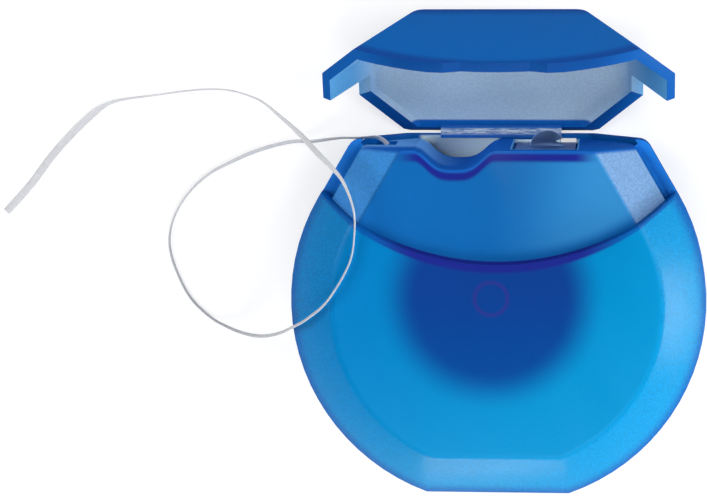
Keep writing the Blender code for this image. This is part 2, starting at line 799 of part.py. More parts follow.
def smooth_route(route, steps):
    """Points on a smooth curve through the route's own points."""
    points = [Vector(point) for point in route]
    padded = [points[0] * 2 - points[1], *points, points[-1] * 2 - points[-2]]
    found = []
    for a, b, c, d in zip(padded, padded[1:], padded[2:], padded[3:]):
        for step in range(steps):
            t = step / steps
            straight = 2 * b + (c - a) * t
            bent = (2 * a - 5 * b + 4 * c - d) * t**2 + (3 * b - a - 3 * c + d) * t**3
            found.append((straight + bent) / 2)
    found.append(points[-1])
    return found


def floss_free():
    """The loose stretch of floss, from the outlet to its cut end."""
    points = smooth_route(FREE_ROUTE, ROUTE_STEPS)
    for point in points:
        point.z = max(point.z, FLOSS_WIDTH / 2)
    length = sum((b - a).length for a, b in zip(points, points[1:]))
    print(f"floss_free: {length * MM_PER_METRE:.0f} mm in {len(points)} points")
    floss = cord_object("floss_free", points, FLOSS_WIDTH, 2)
    floss.data.materials.append(material("waxed floss, loose", FLOSS_WHITE, 0.6))
    return floss


def main():
    clear_scene()
    front_case()
    rear_case()
    lid()
    living_hinge()
    cutter()
    bobbin_core()
    floss_package()
    floss_turns()
    floss_lead()
    floss_free()


main()
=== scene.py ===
import json
import math

import bmesh
import bpy
from mathutils import Matrix, Vector
from mathutils.bvhtree import BVHTree


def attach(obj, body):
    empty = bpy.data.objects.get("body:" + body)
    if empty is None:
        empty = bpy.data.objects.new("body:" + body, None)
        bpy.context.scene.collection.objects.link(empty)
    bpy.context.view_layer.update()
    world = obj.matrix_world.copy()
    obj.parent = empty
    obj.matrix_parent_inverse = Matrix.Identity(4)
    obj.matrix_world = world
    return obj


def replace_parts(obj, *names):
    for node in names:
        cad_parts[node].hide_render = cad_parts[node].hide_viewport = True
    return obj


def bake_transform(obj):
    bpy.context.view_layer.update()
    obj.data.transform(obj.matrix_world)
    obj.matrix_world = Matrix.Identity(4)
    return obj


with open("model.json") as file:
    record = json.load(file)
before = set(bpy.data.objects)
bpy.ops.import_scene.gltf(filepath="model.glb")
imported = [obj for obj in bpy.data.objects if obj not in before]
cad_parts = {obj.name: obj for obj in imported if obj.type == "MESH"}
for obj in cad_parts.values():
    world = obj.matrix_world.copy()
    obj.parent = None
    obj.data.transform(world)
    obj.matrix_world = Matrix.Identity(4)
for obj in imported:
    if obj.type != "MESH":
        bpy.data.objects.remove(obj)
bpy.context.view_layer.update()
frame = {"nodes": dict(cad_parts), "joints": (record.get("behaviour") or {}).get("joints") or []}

bl_info = {
    "name": "Dental Floss Dispenser",
    "version": (1, 0, 0),
    "blender": (4, 5, 0),
    "location": "3D View > Sidebar > Floss",
    "description": "Dresses the floss dispenser: blue case and lid, steel cutter, white waxed floss",
    "category": "Object",
}

MM = 0.001

# Camera of the photograph, worked out from the outline of the case
CAMERA_PLACE = Vector((16.736, 64.588, 392.919)) * MM
CAMERA_TARGET = Vector((-18.416, 5.873, 8.0)) * MM
CAMERA_ROLL = -0.0081
CAMERA_LENS = 157.1
CAMERA_SENSOR = 36.0
CAMERA_NEAR = 10 * MM
CAMERA_FAR = 10.0

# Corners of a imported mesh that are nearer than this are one
MERGE_DISTANCE = 0.001 * MM

# Sizes of the two halves of the case, which their finish follows
CASE_RADIUS = 26.0 * MM
CASE_DEPTH = 16.8 * MM
CASE_WALL = 1.2 * MM
REAR_WALL = 1.2 * MM
PARTING_DEPTH = 8.3 * MM
BEVEL_FOOT = 12.0 * MM
SHOULDER_RADIUS = 33.5 * MM
SHOULDER_CENTRE = 38.9 * MM
NECK_FRONT = 15.2 * MM
NECK_INSET = 1.6 * MM
SIDE_ANGLE = math.radians(30)
HUB_RADIUS = 2.05 * MM
SEAM = 0.3 * MM

# The deck with its finger trough and the cutter's pocket
DECK_HEIGHT = 19.4 * MM
DECK_THICKNESS = 1.3 * MM
TROUGH_CENTRE = -5.2 * MM
TROUGH_HALF = 5.05 * MM
TROUGH_DEPTH = 2.4 * MM
TROUGH_FULLNESS = 1.6
POCKET_CENTRE = 5.85 * MM
POCKET_HALF = 4.05 * MM
POCKET_FRONT = 13.4 * MM

# The lid and its hinge
LID_TOP = 22.8 * MM
LID_OPEN_ANGLE = math.radians(70.3)
HINGE = Vector(frame["joints"][0]["pos_m"])
WEB_FOLD_RISE = -0.22 * MM
WEB_END = 0.5 * MM

# The strips that close the rear case's ledge beside the neck
LIP_INSETS = (CASE_WALL - 0.1 * MM, NECK_INSET + 0.05 * MM)
LIP_REACH = (0.4 * MM, 8.2 * MM)
LIP_HEIGHTS = (PARTING_DEPTH - 0.6 * MM, PARTING_DEPTH - SEAM / 2)

# What a mould leaves: the rounding of edges, and the grain and the clouds of the skin
EDGE_ANGLE = math.radians(17)
EDGE_STEPS = 3
BORDER_RADIUS = 0.6 * MM
BORDER_STEPS = 5
FINE_RADIUS = 0.05 * MM
WEB_RADIUS = 0.04 * MM
BOBBIN_RADIUS = 0.1 * MM
GRAIN = 0.26 * MM
PIT_DEPTH = 0.03 * MM
BOBBIN_GRAIN = 0.3 * MM
BOBBIN_PIT_DEPTH = 0.01 * MM
CLOUD = 9 * MM
# Painted glints of the pits: where a fleck turns from deeper to paler
GLINT_FADE = (0.36, 0.64)

# Steel's scratches and the web's speckle: each one's size, and how its pattern is squeezed along X, Y and Z
SCRATCH_LENGTH = 1.4 * MM
SCRATCH_SQUEEZE = (1.0, 14.0, 14.0)
SCRATCH_DEPTH = 0.01 * MM
SPECKLE = 0.3 * MM
SPECKLE_SQUEEZE = (0.16, 1.7, 1.7)
SPECKLE_FADE = (0.38, 0.62)
SPECKLE_DEPTH = 0.06 * MM

# Which finish a face takes: limits on how straight it looks some way, from -1 to 1, and on where it lies
OUTWARD = 0.3
UPRIGHT = 0.3
FLAT = 0.93
DECK_UP = 0.3
DECK_END_UP = 0.7
DECK_MIDDLE_HALF = 13.0 * MM
TROUGH_LOW = DECK_HEIGHT - TROUGH_DEPTH - 0.2 * MM
POCKET_SKIN = 0.4 * MM
POCKET_LOW = DECK_HEIGHT - 1.1 * MM
BORDER_LOW = CASE_DEPTH - 0.02 * MM
LEDGE_UP = 0.9
LEDGE_LOW = PARTING_DEPTH - 1.5 * MM
LEDGE_START = 5 * MM
TONGUE_LOW = DECK_HEIGHT - 0.55 * MM
RIM_DOWN = -0.55
RIM_HEIGHT = 1.0 * MM
RIM_BACK = -0.9
RIM_DEPTH = 0.3 * MM
RIM_FRONT = 0.3
RIM_INWARD = -0.5

# Painted shade: the dark disc where the wound floss stops the light, and the ring of the hub in it
SHADE_CENTRE = (-0.6 * MM, 1.2 * MM, 0.0)
SHADE_RADIUS = 11.8 * MM
SHADE_SOFT = 2.7 * MM
RING_HALF = 0.2 * MM
RING_SOFT = 0.5 * MM
RING_SHARE = 0.55

# Violet band of painted shade under the shoulder: its width in the middle, how fast it narrows and its least
# width
BAND_WIDTH = 0.95 * MM
BAND_NARROWING = 0.65 * MM
BAND_REACH = 19 * MM
BAND_LEAST = 0.3 * MM

# Where one blue fades into the next, from the start of the fade to its end. Most of these fades are painted
# light or painted shade.
LIT_SIDE_FADE = (-24 * MM, 26 * MM)
SHADE_FADE = (-9 * MM, 4.5 * MM)
SIDE_WALL_FADE = (BEVEL_FOOT + 1.3 * MM, BEVEL_FOOT - 0.1 * MM)
BAND_FADE = (1.3, 0.75)
BAND_ENDS_FADE = (10 * MM, 17 * MM)
NECK_LIT_FADE = (-2 * MM, 14 * MM)
NECK_FOOT_FADE = (-2.2 * MM, 0.0)
NECK_FACET_FADE = (NECK_FRONT - 0.05 * MM, NECK_FRONT - 0.4 * MM)
NECK_FACET_LIT_FADE = (-8 * MM, 8 * MM)
NECK_SIDE_FADE = (10.9 * MM, 10.2 * MM)
NECK_BORDER_FADE = (-0.16 * MM, -0.28 * MM)
DECK_WALL_FADE = (DECK_THICKNESS + 0.3 * MM, DECK_THICKNESS - 0.25 * MM)
DECK_WALL_ENDS_FADE = (13.0 * MM, 9.6 * MM)
DECK_EDGE_FADE = (0.55 * MM, 0.1 * MM)
DECK_LEFT_FADE = (-4 * MM, -11 * MM)
DECK_BACK_FADE = (12.5 * MM, 9 * MM)
POCKET_SIDES_FADE = (1.6 * MM, 2.2 * MM)
BARED_FADE = (14 * MM, 15 * MM)
REAR_RIM_FADE = (DECK_HEIGHT + 0.2 * MM, DECK_HEIGHT + 0.5 * MM)
LID_RIM_FADE = (-2.6 * MM, -1.1 * MM)
LID_TOP_FADE = (LID_TOP - 2.2 * MM, LID_TOP - 0.2 * MM)
LID_ENDS_FADE = (14 * MM, 19 * MM)
LID_HINGE_FADE = (2.1 * MM, 1.8 * MM)
RIM_ENDS_FADE = (11 * MM, 18 * MM)
WEB_FADE = (0.4 * MM, 0.58 * MM)

# Narrow stretches of painted light: where they start and end, and how soft their borders are
POCKET_BACK_DEPTH = (1.9 * MM, 2.35 * MM, 0.1 * MM)
POCKET_BACK_HEIGHT = (DECK_HEIGHT - 0.5 * MM, DECK_HEIGHT - 0.05 * MM, 0.1 * MM)
POCKET_EDGE = (0.0, 0.16 * MM, 0.08 * MM)
BARED_DEPTH = (REAR_WALL - 0.15 * MM, REAR_WALL + 0.15 * MM, 0.05 * MM)
BARED_WIDTH = (TROUGH_CENTRE - TROUGH_HALF, TROUGH_CENTRE + TROUGH_HALF, 0.8 * MM)

# The wound floss on its core
CORE_RADIUS = 4.5 * MM
WOUND_RADIUS = 11.0 * MM
TURNS_RADIUS = 12.1 * MM
WOUND_LOW = 3.2 * MM
WOUND_HIGH = 12.6 * MM
WOUND_STEPS = 96
LAYER_RIDGE = 0.48 * MM
RIDGE_DEPTH = 0.08 * MM
RIDGE_STEPS = 5
TURN_LAYERS = 3
TURNS_A_LAYER = 8
TURN_STEPS = 40
TURN_GAP = 0.02 * MM

# The tape: steps round each of its edges and from point to point of a route, and steps to one unit of V
TAPE_EDGE_STEPS = 3
TAPE_STEPS = 6
LEAD_STEPS = 4
TAPE_UV_STEPS = 12
WOUND_UV_STEPS = 4
FILAMENT_SCALE = 5.0
FILAMENT_DEPTH = 0.02 * MM

# The tape lies on the table where its route is lower than this, and its heights are then evened out
LYING_BELOW = 0.6 * MM
LYING_SMOOTHINGS = 3

# Route of the floss inside the case, from beside the bobbin up to the outlet
LEAD_ROUTE = [
    (-0.01290, 0.00000, 0.00760),
    (-0.01290, 0.00753, 0.00760),
    (-0.01290, 0.01505, 0.00760),
    (-0.01291, 0.01638, 0.00760),
    (-0.01295, 0.01736, 0.00760),
    (-0.01302, 0.01800, 0.00760),
    (-0.01311, 0.01829, 0.00760),
    (-0.01378, 0.01903, 0.00760),
]
LEAD_TWIST = 50.0

# Route of the free floss, from the outlet to its cut end: the same points as in the solids
FREE_ROUTE = [
    (-0.01397, 0.01925, 0.00760),
    (-0.01455, 0.01982, 0.00755),
    (-0.01545, 0.02018, 0.00730),
    (-0.01670, 0.02010, 0.00680),
    (-0.01810, 0.01993, 0.00600),
    (-0.01990, 0.01980, 0.00475),
    (-0.02158, 0.01950, 0.00340),
    (-0.02420, 0.01900, 0.00180),
    (-0.02714, 0.01881, 0.00080),
    (-0.03123, 0.01770, 0.00050),
    (-0.03489, 0.01613, 0.00050),
    (-0.03817, 0.01430, 0.00050),
    (-0.04109, 0.01129, 0.00050),
    (-0.04285, 0.00761, 0.00050),
    (-0.04285, 0.00381, 0.00050),
    (-0.04077, -0.00118, 0.00050),
    (-0.03804, -0.00405, 0.00060),
    (-0.03560, -0.00530, 0.00135),
    (-0.03320, -0.00582, 0.00310),
    (-0.03060, -0.00565, 0.00610),
    (-0.02796, -0.00463, 0.00980),
    (-0.02562, -0.00311, 0.01350),
    (-0.02349, -0.00158, 0.01560),
    (-0.02076, 0.00105, 0.01760),
    (-0.01811, 0.00558, 0.01762),
    (-0.01740, 0.00940, 0.01780),
    (-0.01745, 0.01274, 0.01880),
    (-0.01867, 0.01595, 0.01870),
    (-0.02040, 0.01775, 0.01705),
    (-0.02209, 0.01897, 0.01510),
    (-0.02477, 0.02090, 0.01080),
    (-0.02803, 0.02269, 0.00530),
    (-0.03169, 0.02458, 0.00130),
    (-0.03709, 0.02559, 0.00050),
    (-0.04556, 0.02467, 0.00050),
    (-0.05040, 0.02382, 0.00050),
    (-0.05358, 0.02168, 0.00050),
    (-0.05787, 0.01737, 0.00050),
    (-0.06126, 0.01304, 0.00050),
    (-0.06452, 0.00948, 0.00050),
]

# How far the tape stands on its edge at each of those points, in degrees: 0 lies flat, 90 stands upright
FREE_TWIST = [
    50, 52, 60, 68, 70, 70, 66, 62, 60, 60, 66, 74, 82, 85, 85, 85, 85, 85, 85, 84,
    84, 83, 82, 82, 81, 79, 74, 62, 46, 34, 36, 52, 72, 80, 76, 64, 24, 0, 0, 0,
]

# The floor, and each lamp's name, place, size and level
FLOOR_HALF = 1.5
FLOOR_DROP = 0.05 * MM
LAMPS = [
    ("lamp_right_high", (0.42, 0.14, 0.46), (0.34, 0.34), 4.0),
    ("lamp_left_high", (-0.42, 0.20, 0.44), (0.34, 0.34), 4.9),
    ("lamp_front_high", (0.04, -0.38, 0.56), (0.34, 0.34), 4.6),
    ("strip_right", (0.50, -0.10, 0.10), (0.24, 0.10), 19.0),
    ("strip_front", (-0.06, -0.52, 0.05), (0.26, 0.06), 18.0),
]

# The surroundings darken from this height of the sky to that one, from full level to this one
SKY_FADE = (0.2, 0.85)
SKY_TOP_LEVEL = 0.05


def linear(code):
    """Linear RGBA from an sRGB hex colour."""
    parts = [int(code[i:i + 2], 16) / 255 for i in (1, 3, 5)]
    return (*(c / 12.92 if c <= 0.04045 else ((c + 0.055) / 1.055) ** 2.4 for c in parts), 1.0)


def add(tree, kind, links=None, values=None, **settings):
    """Adds a node with its settings, its sockets' values and what is linked to them."""
    made = tree.nodes.new(kind)
    for name, value in settings.items():
        setattr(made, name, value)
    for socket, value in (values or {}).items():
        made.inputs[socket].default_value = value
    for socket, source in (links or {}).items():
        tree.links.new(source, made.inputs[socket])
    return made


def new_material(name):
    """An empty material and its node tree."""
    made = bpy.data.materials.new(name)
    made.use_nodes = True
    made.node_tree.nodes.clear()
    return made, made.node_tree


def finished(made, tree, links, values):
    """The material with its surface, which links and values describe."""
    shader = add(tree, "ShaderNodeBsdfPrincipled", links, values)
    add(tree, "ShaderNodeOutputMaterial", {"Surface": shader.outputs[0]})
    return made


def maths(tree, operation, *inputs):
    """The output of a sum on sockets and numbers."""
    made = add(tree, "ShaderNodeMath", operation=operation)
    for socket, value in zip(made.inputs, inputs):
        if isinstance(value, bpy.types.NodeSocket):
            tree.links.new(value, socket)
        else:
            socket.default_value = value
    return made.outputs[0]


def step_between(tree, value, start, end):
    """0 where value is at start, 1 where it is at end, and smooth between them."""
    made = add(
        tree, "ShaderNodeMapRange", {"Value": value}, {"From Min": start, "From Max": end},
        interpolation_type="SMOOTHSTEP",
    )
    return made.outputs["Result"]


def between(tree, value, low, high, soft):
    """1 where value lies between low and high, with soft borders."""
    return maths(
        tree, "MULTIPLY",
        step_between(tree, value, low - soft / 2, low + soft / 2),
        step_between(tree, value, high + soft / 2, high - soft / 2),
    )


def mix_colours(tree, share, first, second):
    """Between two colours, each a hex colour or a socket."""
    made = add(tree, "ShaderNodeMix", {"Factor": share}, data_type="RGBA")
    for name, value in (("A", first), ("B", second)):
        socket = next(s for s in made.inputs if s.name == name and s.type == "RGBA")
        if isinstance(value, bpy.types.NodeSocket):
            tree.links.new(value, socket)
        else:
            socket.default_value = linear(value)
    return next(s for s in made.outputs if s.type == "RGBA")


def fade(tree, value, limits, first, second):
    """The first colour where value is at the first limit, fading into the second at the other."""
    return mix_colours(tree, step_between(tree, value, *limits), first, second)


def spark_grain(tree, place, grain, height):
    """Bump of a spark-eroded mould: the skin of the plastic is finely pitted all over."""
    pits = add(
        tree, "ShaderNodeTexNoise", {"Vector": place},
        {"Scale": 1 / grain, "Detail": 3.0, "Roughness": 0.7},
    )
    bump = add(
        tree, "ShaderNodeBump", {"Height": pits.outputs["Fac"]},
        {"Strength": 1.0, "Distance": height},
    )
    return bump.outputs["Normal"]


def away_from_axis(tree, place, centre, across=(1.0, 1.0, 0.0)):
    """Distance in X and Y from an axis along Z, or in the two directions of across."""
    flat = add(tree, "ShaderNodeVectorMath", {0: place}, {1: across}, operation="MULTIPLY")
    apart = add(
        tree, "ShaderNodeVectorMath", {0: flat.outputs["Vector"]}, {1: centre}, operation="DISTANCE"
    )
    return apart.outputs["Value"]


def below_shoulder(tree, place):
    """How far a place lies below the shoulder's arc. Above it, on the neck, this is less than 0."""
    from_centre = away_from_axis(tree, place, (0.0, SHOULDER_CENTRE, 0.0))
    return maths(tree, "SUBTRACT", from_centre, SHOULDER_RADIUS)


def translucent_polypropylene(name, colour_of, roughness, transmission, sheen=0.0, glint_flecks=0.0):
    """Polypropylene dyed blue, moulded in a spark-eroded tool: satin, milky and let through by light.

    The real pits are about 0.05 mm across, too fine to show, so they are drawn at GRAIN instead.
    They shadow each other, so the skin mirrors less at a glance than its IOR alone would.
    Where the skin slants, each pit is painted as a paler or a deeper fleck: painted glints and shade of the
    grain."""
    made, tree = new_material(name)
    place = add(tree, "ShaderNodeTexCoord").outputs["Object"]
    tint = colour_of(tree, place)
    if glint_flecks:
        pits = add(tree, "ShaderNodeTexNoise", {"Vector": place}, {"Scale": 1 / GRAIN, "Detail": 2.0})
        level = add(
            tree, "ShaderNodeMapRange", {"Value": step_between(tree, pits.outputs["Fac"], *GLINT_FADE)},
            {"To Min": 1 - glint_flecks, "To Max": 1 + glint_flecks},
        )
        tint = add(
            tree, "ShaderNodeHueSaturation", {"Color": tint, "Value": level.outputs["Result"]}
        ).outputs["Color"]
    return finished(
        made, tree, {"Base Color": tint, "Normal": spark_grain(tree, place, GRAIN, PIT_DEPTH)},
        {
            "Roughness": roughness, "IOR": 1.49, "Specular IOR Level": sheen,
            "Transmission Weight": transmission,
        },
    )


def plain_colour(code):
    """A colour function for one dye alone."""
    def colour_of(tree, place):
        """One dye with slight clouds in it, as granulate and master batch mix."""
        clouds = add(tree, "ShaderNodeTexNoise", {"Vector": place}, {"Scale": 1 / CLOUD, "Detail": 2.0})
        level = add(
            tree, "ShaderNodeMapRange", {"Value": clouds.outputs["Fac"]}, {"To Min": 0.96, "To Max": 1.04}
        )
        tint = add(
            tree, "ShaderNodeHueSaturation", {"Value": level.outputs["Result"]}, {"Color": linear(code)}
        )
        return tint.outputs["Color"]
    return colour_of


def over_bobbin(tree, place, y, skin):
    """Painted shade: darkens a skin where the wound floss behind it stops the light, and paints the hub's
    ring in it.
    """
    look = bpy.context.scene.floss_case
    from_bobbin = away_from_axis(tree, place, SHADE_CENTRE)
    under = step_between(tree, from_bobbin, SHADE_RADIUS + SHADE_SOFT, SHADE_RADIUS - SHADE_SOFT)
    dark = fade(tree, y, SHADE_FADE, look.bobbin_shade, look.bobbin_shade_top)
    skin = mix_colours(tree, under, skin, dark)
    ring = between(tree, from_bobbin, HUB_RADIUS - RING_HALF, HUB_RADIUS + RING_HALF, RING_SOFT)
    return mix_colours(tree, maths(tree, "MULTIPLY", ring, RING_SHARE), skin, look.hub_ring_shade)


def face_blue(tree, place, x, y, z):
    """The front face and its bevel, with painted light towards the lower right, and the side walls below them
    in a deeper blue of painted shade.
    """
    look = bpy.context.scene.floss_case
    across = maths(tree, "SUBTRACT", x, y)
    skin = fade(tree, across, LIT_SIDE_FADE, look.body_shaded, look.body_lit)
    skin = over_bobbin(tree, place, y, skin)
    return fade(tree, z, SIDE_WALL_FADE, skin, look.side)


def shoulder_band(tree, from_middle, below, skin):
    """Adds the violet band of painted shade under the shoulder, where one looks along its wall, to a skin."""
    look = bpy.context.scene.floss_case
    outward = maths(tree, "POWER", maths(tree, "DIVIDE", from_middle, BAND_REACH), 2.0)
    width = maths(tree, "SUBTRACT", BAND_WIDTH, maths(tree, "MULTIPLY", outward, BAND_NARROWING))
    width = maths(tree, "MAXIMUM", width, BAND_LEAST)
    band = step_between(tree, maths(tree, "DIVIDE", below, width), *BAND_FADE)
    ends = step_between(tree, from_middle, *BAND_ENDS_FADE)
    return mix_colours(tree, band, skin, mix_colours(tree, ends, look.wall_depth_shade, look.side))


def below_deck(tree, x, y):
    """How far a place lies below the deck, or below the finger trough where that is cut into it."""
    share = maths(tree, "DIVIDE", maths(tree, "SUBTRACT", x, TROUGH_CENTRE), TROUGH_HALF)
    share = maths(tree, "MINIMUM", maths(tree, "ABSOLUTE", share), 1.0)
    wave = maths(tree, "MULTIPLY", maths(tree, "POWER", share, TROUGH_FULLNESS), math.pi)
    fall = maths(tree, "ADD", maths(tree, "COSINE", wave), 1.0)
    floor = maths(tree, "SUBTRACT", DECK_HEIGHT, maths(tree, "MULTIPLY", fall, TROUGH_DEPTH / 2))
    return maths(tree, "SUBTRACT", floor, y)


def neck_blue(tree, x, y, z, from_middle, below):
    """The neck: painted light at the right, painted sheen on its slanting faces, violet painted shade where
    the deck's wall starts.
    """
    look = bpy.context.scene.floss_case
    neck = fade(tree, x, NECK_LIT_FADE, look.neck, look.neck_lit)
    neck = fade(tree, below, NECK_FOOT_FADE, neck, look.neck)
    facet = fade(tree, x, NECK_FACET_LIT_FADE, look.neck_facet, look.neck_facet_lit)
    neck = fade(tree, z, NECK_FACET_FADE, neck, facet)
    under_deck = below_deck(tree, x, y)
    thick = maths(
        tree, "MULTIPLY", step_between(tree, under_deck, *DECK_WALL_FADE),
        step_between(tree, from_middle, *DECK_WALL_ENDS_FADE),
    )
    neck = mix_colours(tree, thick, neck, look.wall_depth_shade)
    neck = fade(tree, under_deck, DECK_EDGE_FADE, neck, look.deck)
    return fade(tree, z, NECK_SIDE_FADE, neck, look.side)


def front_case_colour(tree, place):
    """The blue of the front case, with painted light and shade for what shows dimly through it.

    The wound floss stops the light that comes through the body: a soft dark disc of painted shade.
    Deeper painted shade where one looks along the walls: under the shoulder, at the sides and in the deck."""
    x, y, z = add(tree, "ShaderNodeSeparateXYZ", {0: place}).outputs
    from_middle = maths(tree, "ABSOLUTE", x)
    below = below_shoulder(tree, place)
    skin = shoulder_band(tree, from_middle, below, face_blue(tree, place, x, y, z))
    neck = neck_blue(tree, x, y, z, from_middle, below)
    return fade(tree, below, NECK_BORDER_FADE, skin, neck)


def deck_colour(tree, place):
    """The deep blue of the deck, where one looks along the plastic, with painted highlights on the pocket's
    edges.
    """
    look = bpy.context.scene.floss_case
    x, y, z = add(tree, "ShaderNodeSeparateXYZ", {0: place}).outputs
    # Painted light: the deck paler at its left
    lit = maths(
        tree, "MULTIPLY", step_between(tree, x, *DECK_LEFT_FADE), step_between(tree, z, *DECK_BACK_FADE)
    )
    skin = mix_colours(tree, lit, look.deck, look.deck_lit)
    # Painted light: the pocket's back wall pale where light comes through it
    back = maths(
        tree, "MULTIPLY", between(tree, z, *POCKET_BACK_DEPTH), between(tree, y, *POCKET_BACK_HEIGHT)
    )
    skin = mix_colours(tree, back, skin, look.backlit)
    beside = maths(tree, "ABSOLUTE", maths(tree, "SUBTRACT", x, POCKET_CENTRE))
    beyond = maths(
        tree, "MAXIMUM", maths(tree, "SUBTRACT", beside, POCKET_HALF),
        maths(tree, "SUBTRACT", z, POCKET_FRONT),
    )
    # Painted highlight along the pocket's edges
    edge = maths(
        tree, "MULTIPLY", between(tree, beyond, *POCKET_EDGE), step_between(tree, z, *POCKET_SIDES_FADE)
    )
    return mix_colours(tree, edge, skin, look.pocket_edge_highlight)


def rear_case_colour(tree, place):
    """The rear case's blue. Painted light makes the inner face of its back wall pale where the trough bares
    it.
    """
    look = bpy.context.scene.floss_case
    x, y, z = add(tree, "ShaderNodeSeparateXYZ", {0: place}).outputs
    skin = over_bobbin(tree, place, y, look.side)
    bared = maths(tree, "MULTIPLY", between(tree, z, *BARED_DEPTH), between(tree, x, *BARED_WIDTH))
    bared = maths(tree, "MULTIPLY", bared, step_between(tree, y, *BARED_FADE))
    skin = mix_colours(tree, bared, skin, look.backlit)
    return fade(tree, y, REAR_RIM_FADE, skin, look.rim)


def closed_place(tree, place):
    """Places on the open lid, turned to where they lie when it is closed."""
    turned = add(
        tree, "ShaderNodeVectorRotate", {"Vector": place}, {"Center": HINGE, "Angle": LID_OPEN_ANGLE},
        rotation_type="X_AXIS",
    )
    return turned.outputs["Vector"]


def lid_outside_colour(tree, place):
    """The lid's blue, with deeper painted shade along its rim and its top edge, where one looks along the
    wall.
    """
    look = bpy.context.scene.floss_lid
    closed = closed_place(tree, place)
    skin = fade(tree, below_shoulder(tree, closed), LID_RIM_FADE, look.outside, look.rim_shade)
    height = add(tree, "ShaderNodeSeparateXYZ", {0: closed}).outputs[1]
    return fade(tree, height, LID_TOP_FADE, skin, look.rim_shade)


def lid_inside_colour(tree, place):
    """The inside: pale painted light in the middle, bluer at its ends and deep blue next to the hinge."""
    look = bpy.context.scene.floss_lid
    x = add(tree, "ShaderNodeSeparateXYZ", {0: place}).outputs[0]
    skin = fade(tree, maths(tree, "ABSOLUTE", x), LID_ENDS_FADE, look.inside, look.inside_ends)
    depth = add(tree, "ShaderNodeSeparateXYZ", {0: closed_place(tree, place)}).outputs[2]
    return fade(tree, depth, LID_HINGE_FADE, skin, look.outside)


def lid_rim_colour(tree, place):
    """The cut edge of the lid's wall, in painted shade: deepest in the middle, where one looks furthest along
    it.
    """
    look = bpy.context.scene.floss_lid
    x = add(tree, "ShaderNodeSeparateXYZ", {0: place}).outputs[0]
    return fade(tree, maths(tree, "ABSOLUTE", x), RIM_ENDS_FADE, look.rim, look.rim_ends)


def waxed_floss(name):
    """Nylon floss, waxed: hundreds of fine filaments side by side, white with a soft waxy sheen.

    The filaments are too fine to show, so fewer and coarser ones are drawn along the tape, with painted shade
    between them."""
    look = bpy.context.scene.floss_floss
    made, tree = new_material(name)
    across = add(tree, "ShaderNodeUVMap", uv_map="tape")
    lines = add(
        tree, "ShaderNodeTexWave", {"Vector": across.outputs["UV"]},
        {"Scale": FILAMENT_SCALE, "Distortion": 1.2, "Detail": 2.0}, wave_type="BANDS", bands_direction="X",
    )
    tint = mix_colours(tree, lines.outputs["Fac"], look.shade, look.white)
    bump = add(
        tree, "ShaderNodeBump", {"Height": lines.outputs["Fac"]},
        {"Strength": 0.5, "Distance": FILAMENT_DEPTH},
    )
    return finished(
        made, tree, {"Base Color": tint, "Normal": bump.outputs["Normal"]},
        {"Roughness": 0.45, "IOR": 1.53, "Sheen Weight": 0.2},
    )


def stamped_steel(name, code, roughness):
    """Spring steel, rolled and stamped: dark, cool and finely scratched along the roll.

    The scratches are too fine to show, so they are drawn about 0.1 mm wide and 1.4 mm long."""
    made, tree = new_material(name)
    place = add(tree, "ShaderNodeTexCoord").outputs["Object"]
    along = add(tree, "ShaderNodeMapping", {"Vector": place}, {"Scale": SCRATCH_SQUEEZE})
    scratches = add(
        tree, "ShaderNodeTexNoise", {"Vector": along.outputs["Vector"]},
        {"Scale": 1 / SCRATCH_LENGTH, "Detail": 4.0},
    )
    rough = add(
        tree, "ShaderNodeMapRange", {"Value": scratches.outputs["Fac"]},
        {"To Min": roughness - 0.08, "To Max": roughness + 0.12},
    )
    bump = add(
        tree, "ShaderNodeBump", {"Height": scratches.outputs["Fac"]},
        {"Strength": 0.3, "Distance": SCRATCH_DEPTH},
    )
    return finished(
        made, tree, {"Roughness": rough.outputs["Result"], "Normal": bump.outputs["Normal"]},
        {"Base Color": linear(code), "Metallic": 1.0},
    )


def stress_whitened_web(name):
    """Polypropylene bent until it whitens: a silvery speckle of fine cracks along the fold alone.

    The cracks are too fine to show, so they are drawn about 0.2 mm wide and 2 mm long, along the fold."""
    look = bpy.context.scene.floss_lid
    made, tree = new_material(name)
    place = add(tree, "ShaderNodeTexCoord").outputs["Object"]
    streaks = add(tree, "ShaderNodeMapping", {"Vector": place}, {"Scale": SPECKLE_SQUEEZE})
    speckle = add(
        tree, "ShaderNodeTexNoise", {"Vector": streaks.outputs["Vector"]},
        {"Scale": 1 / SPECKLE, "Detail": 4.0, "Roughness": 0.8},
    )
    silver = fade(tree, speckle.outputs["Fac"], SPECKLE_FADE, look.web_dull, look.web_white)
    off_fold = away_from_axis(tree, place, (0.0, HINGE.y + WEB_FOLD_RISE, HINGE.z), across=(0.0, 1.0, 1.0))
    tint = fade(tree, off_fold, WEB_FADE, silver, look.web_blue)
    bump = add(
        tree, "ShaderNodeBump", {"Height": speckle.outputs["Fac"]},
        {"Strength": 0.8, "Distance": SPECKLE_DEPTH},
    )
    return finished(
        made, tree, {"Base Color": tint, "Normal": bump.outputs["Normal"]},
        {"Roughness": 0.34, "IOR": 1.49},
    )


def white_polypropylene(name):
    """The bobbin's tube: plain white polypropylene, moulded, satin."""
    look = bpy.context.scene.floss_floss
    made, tree = new_material(name)
    place = add(tree, "ShaderNodeTexCoord").outputs["Object"]
    tint = plain_colour(look.bobbin_white)(tree, place)
    return finished(
        made, tree, {"Base Color": tint, "Normal": spark_grain(tree, place, BOBBIN_GRAIN, BOBBIN_PIT_DEPTH)},
        {"Roughness": 0.45, "IOR": 1.49},
    )


def new_piece(name, mesh, body, materials):
    """A piece with the finishes it is given, riding on a body where one is named."""
    piece = bpy.data.objects.new(name, mesh)
    bpy.context.scene.collection.objects.link(piece)
    mesh.materials.clear()
    for made in materials:
        mesh.materials.append(made)
    if body:
        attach(piece, body)
    return piece


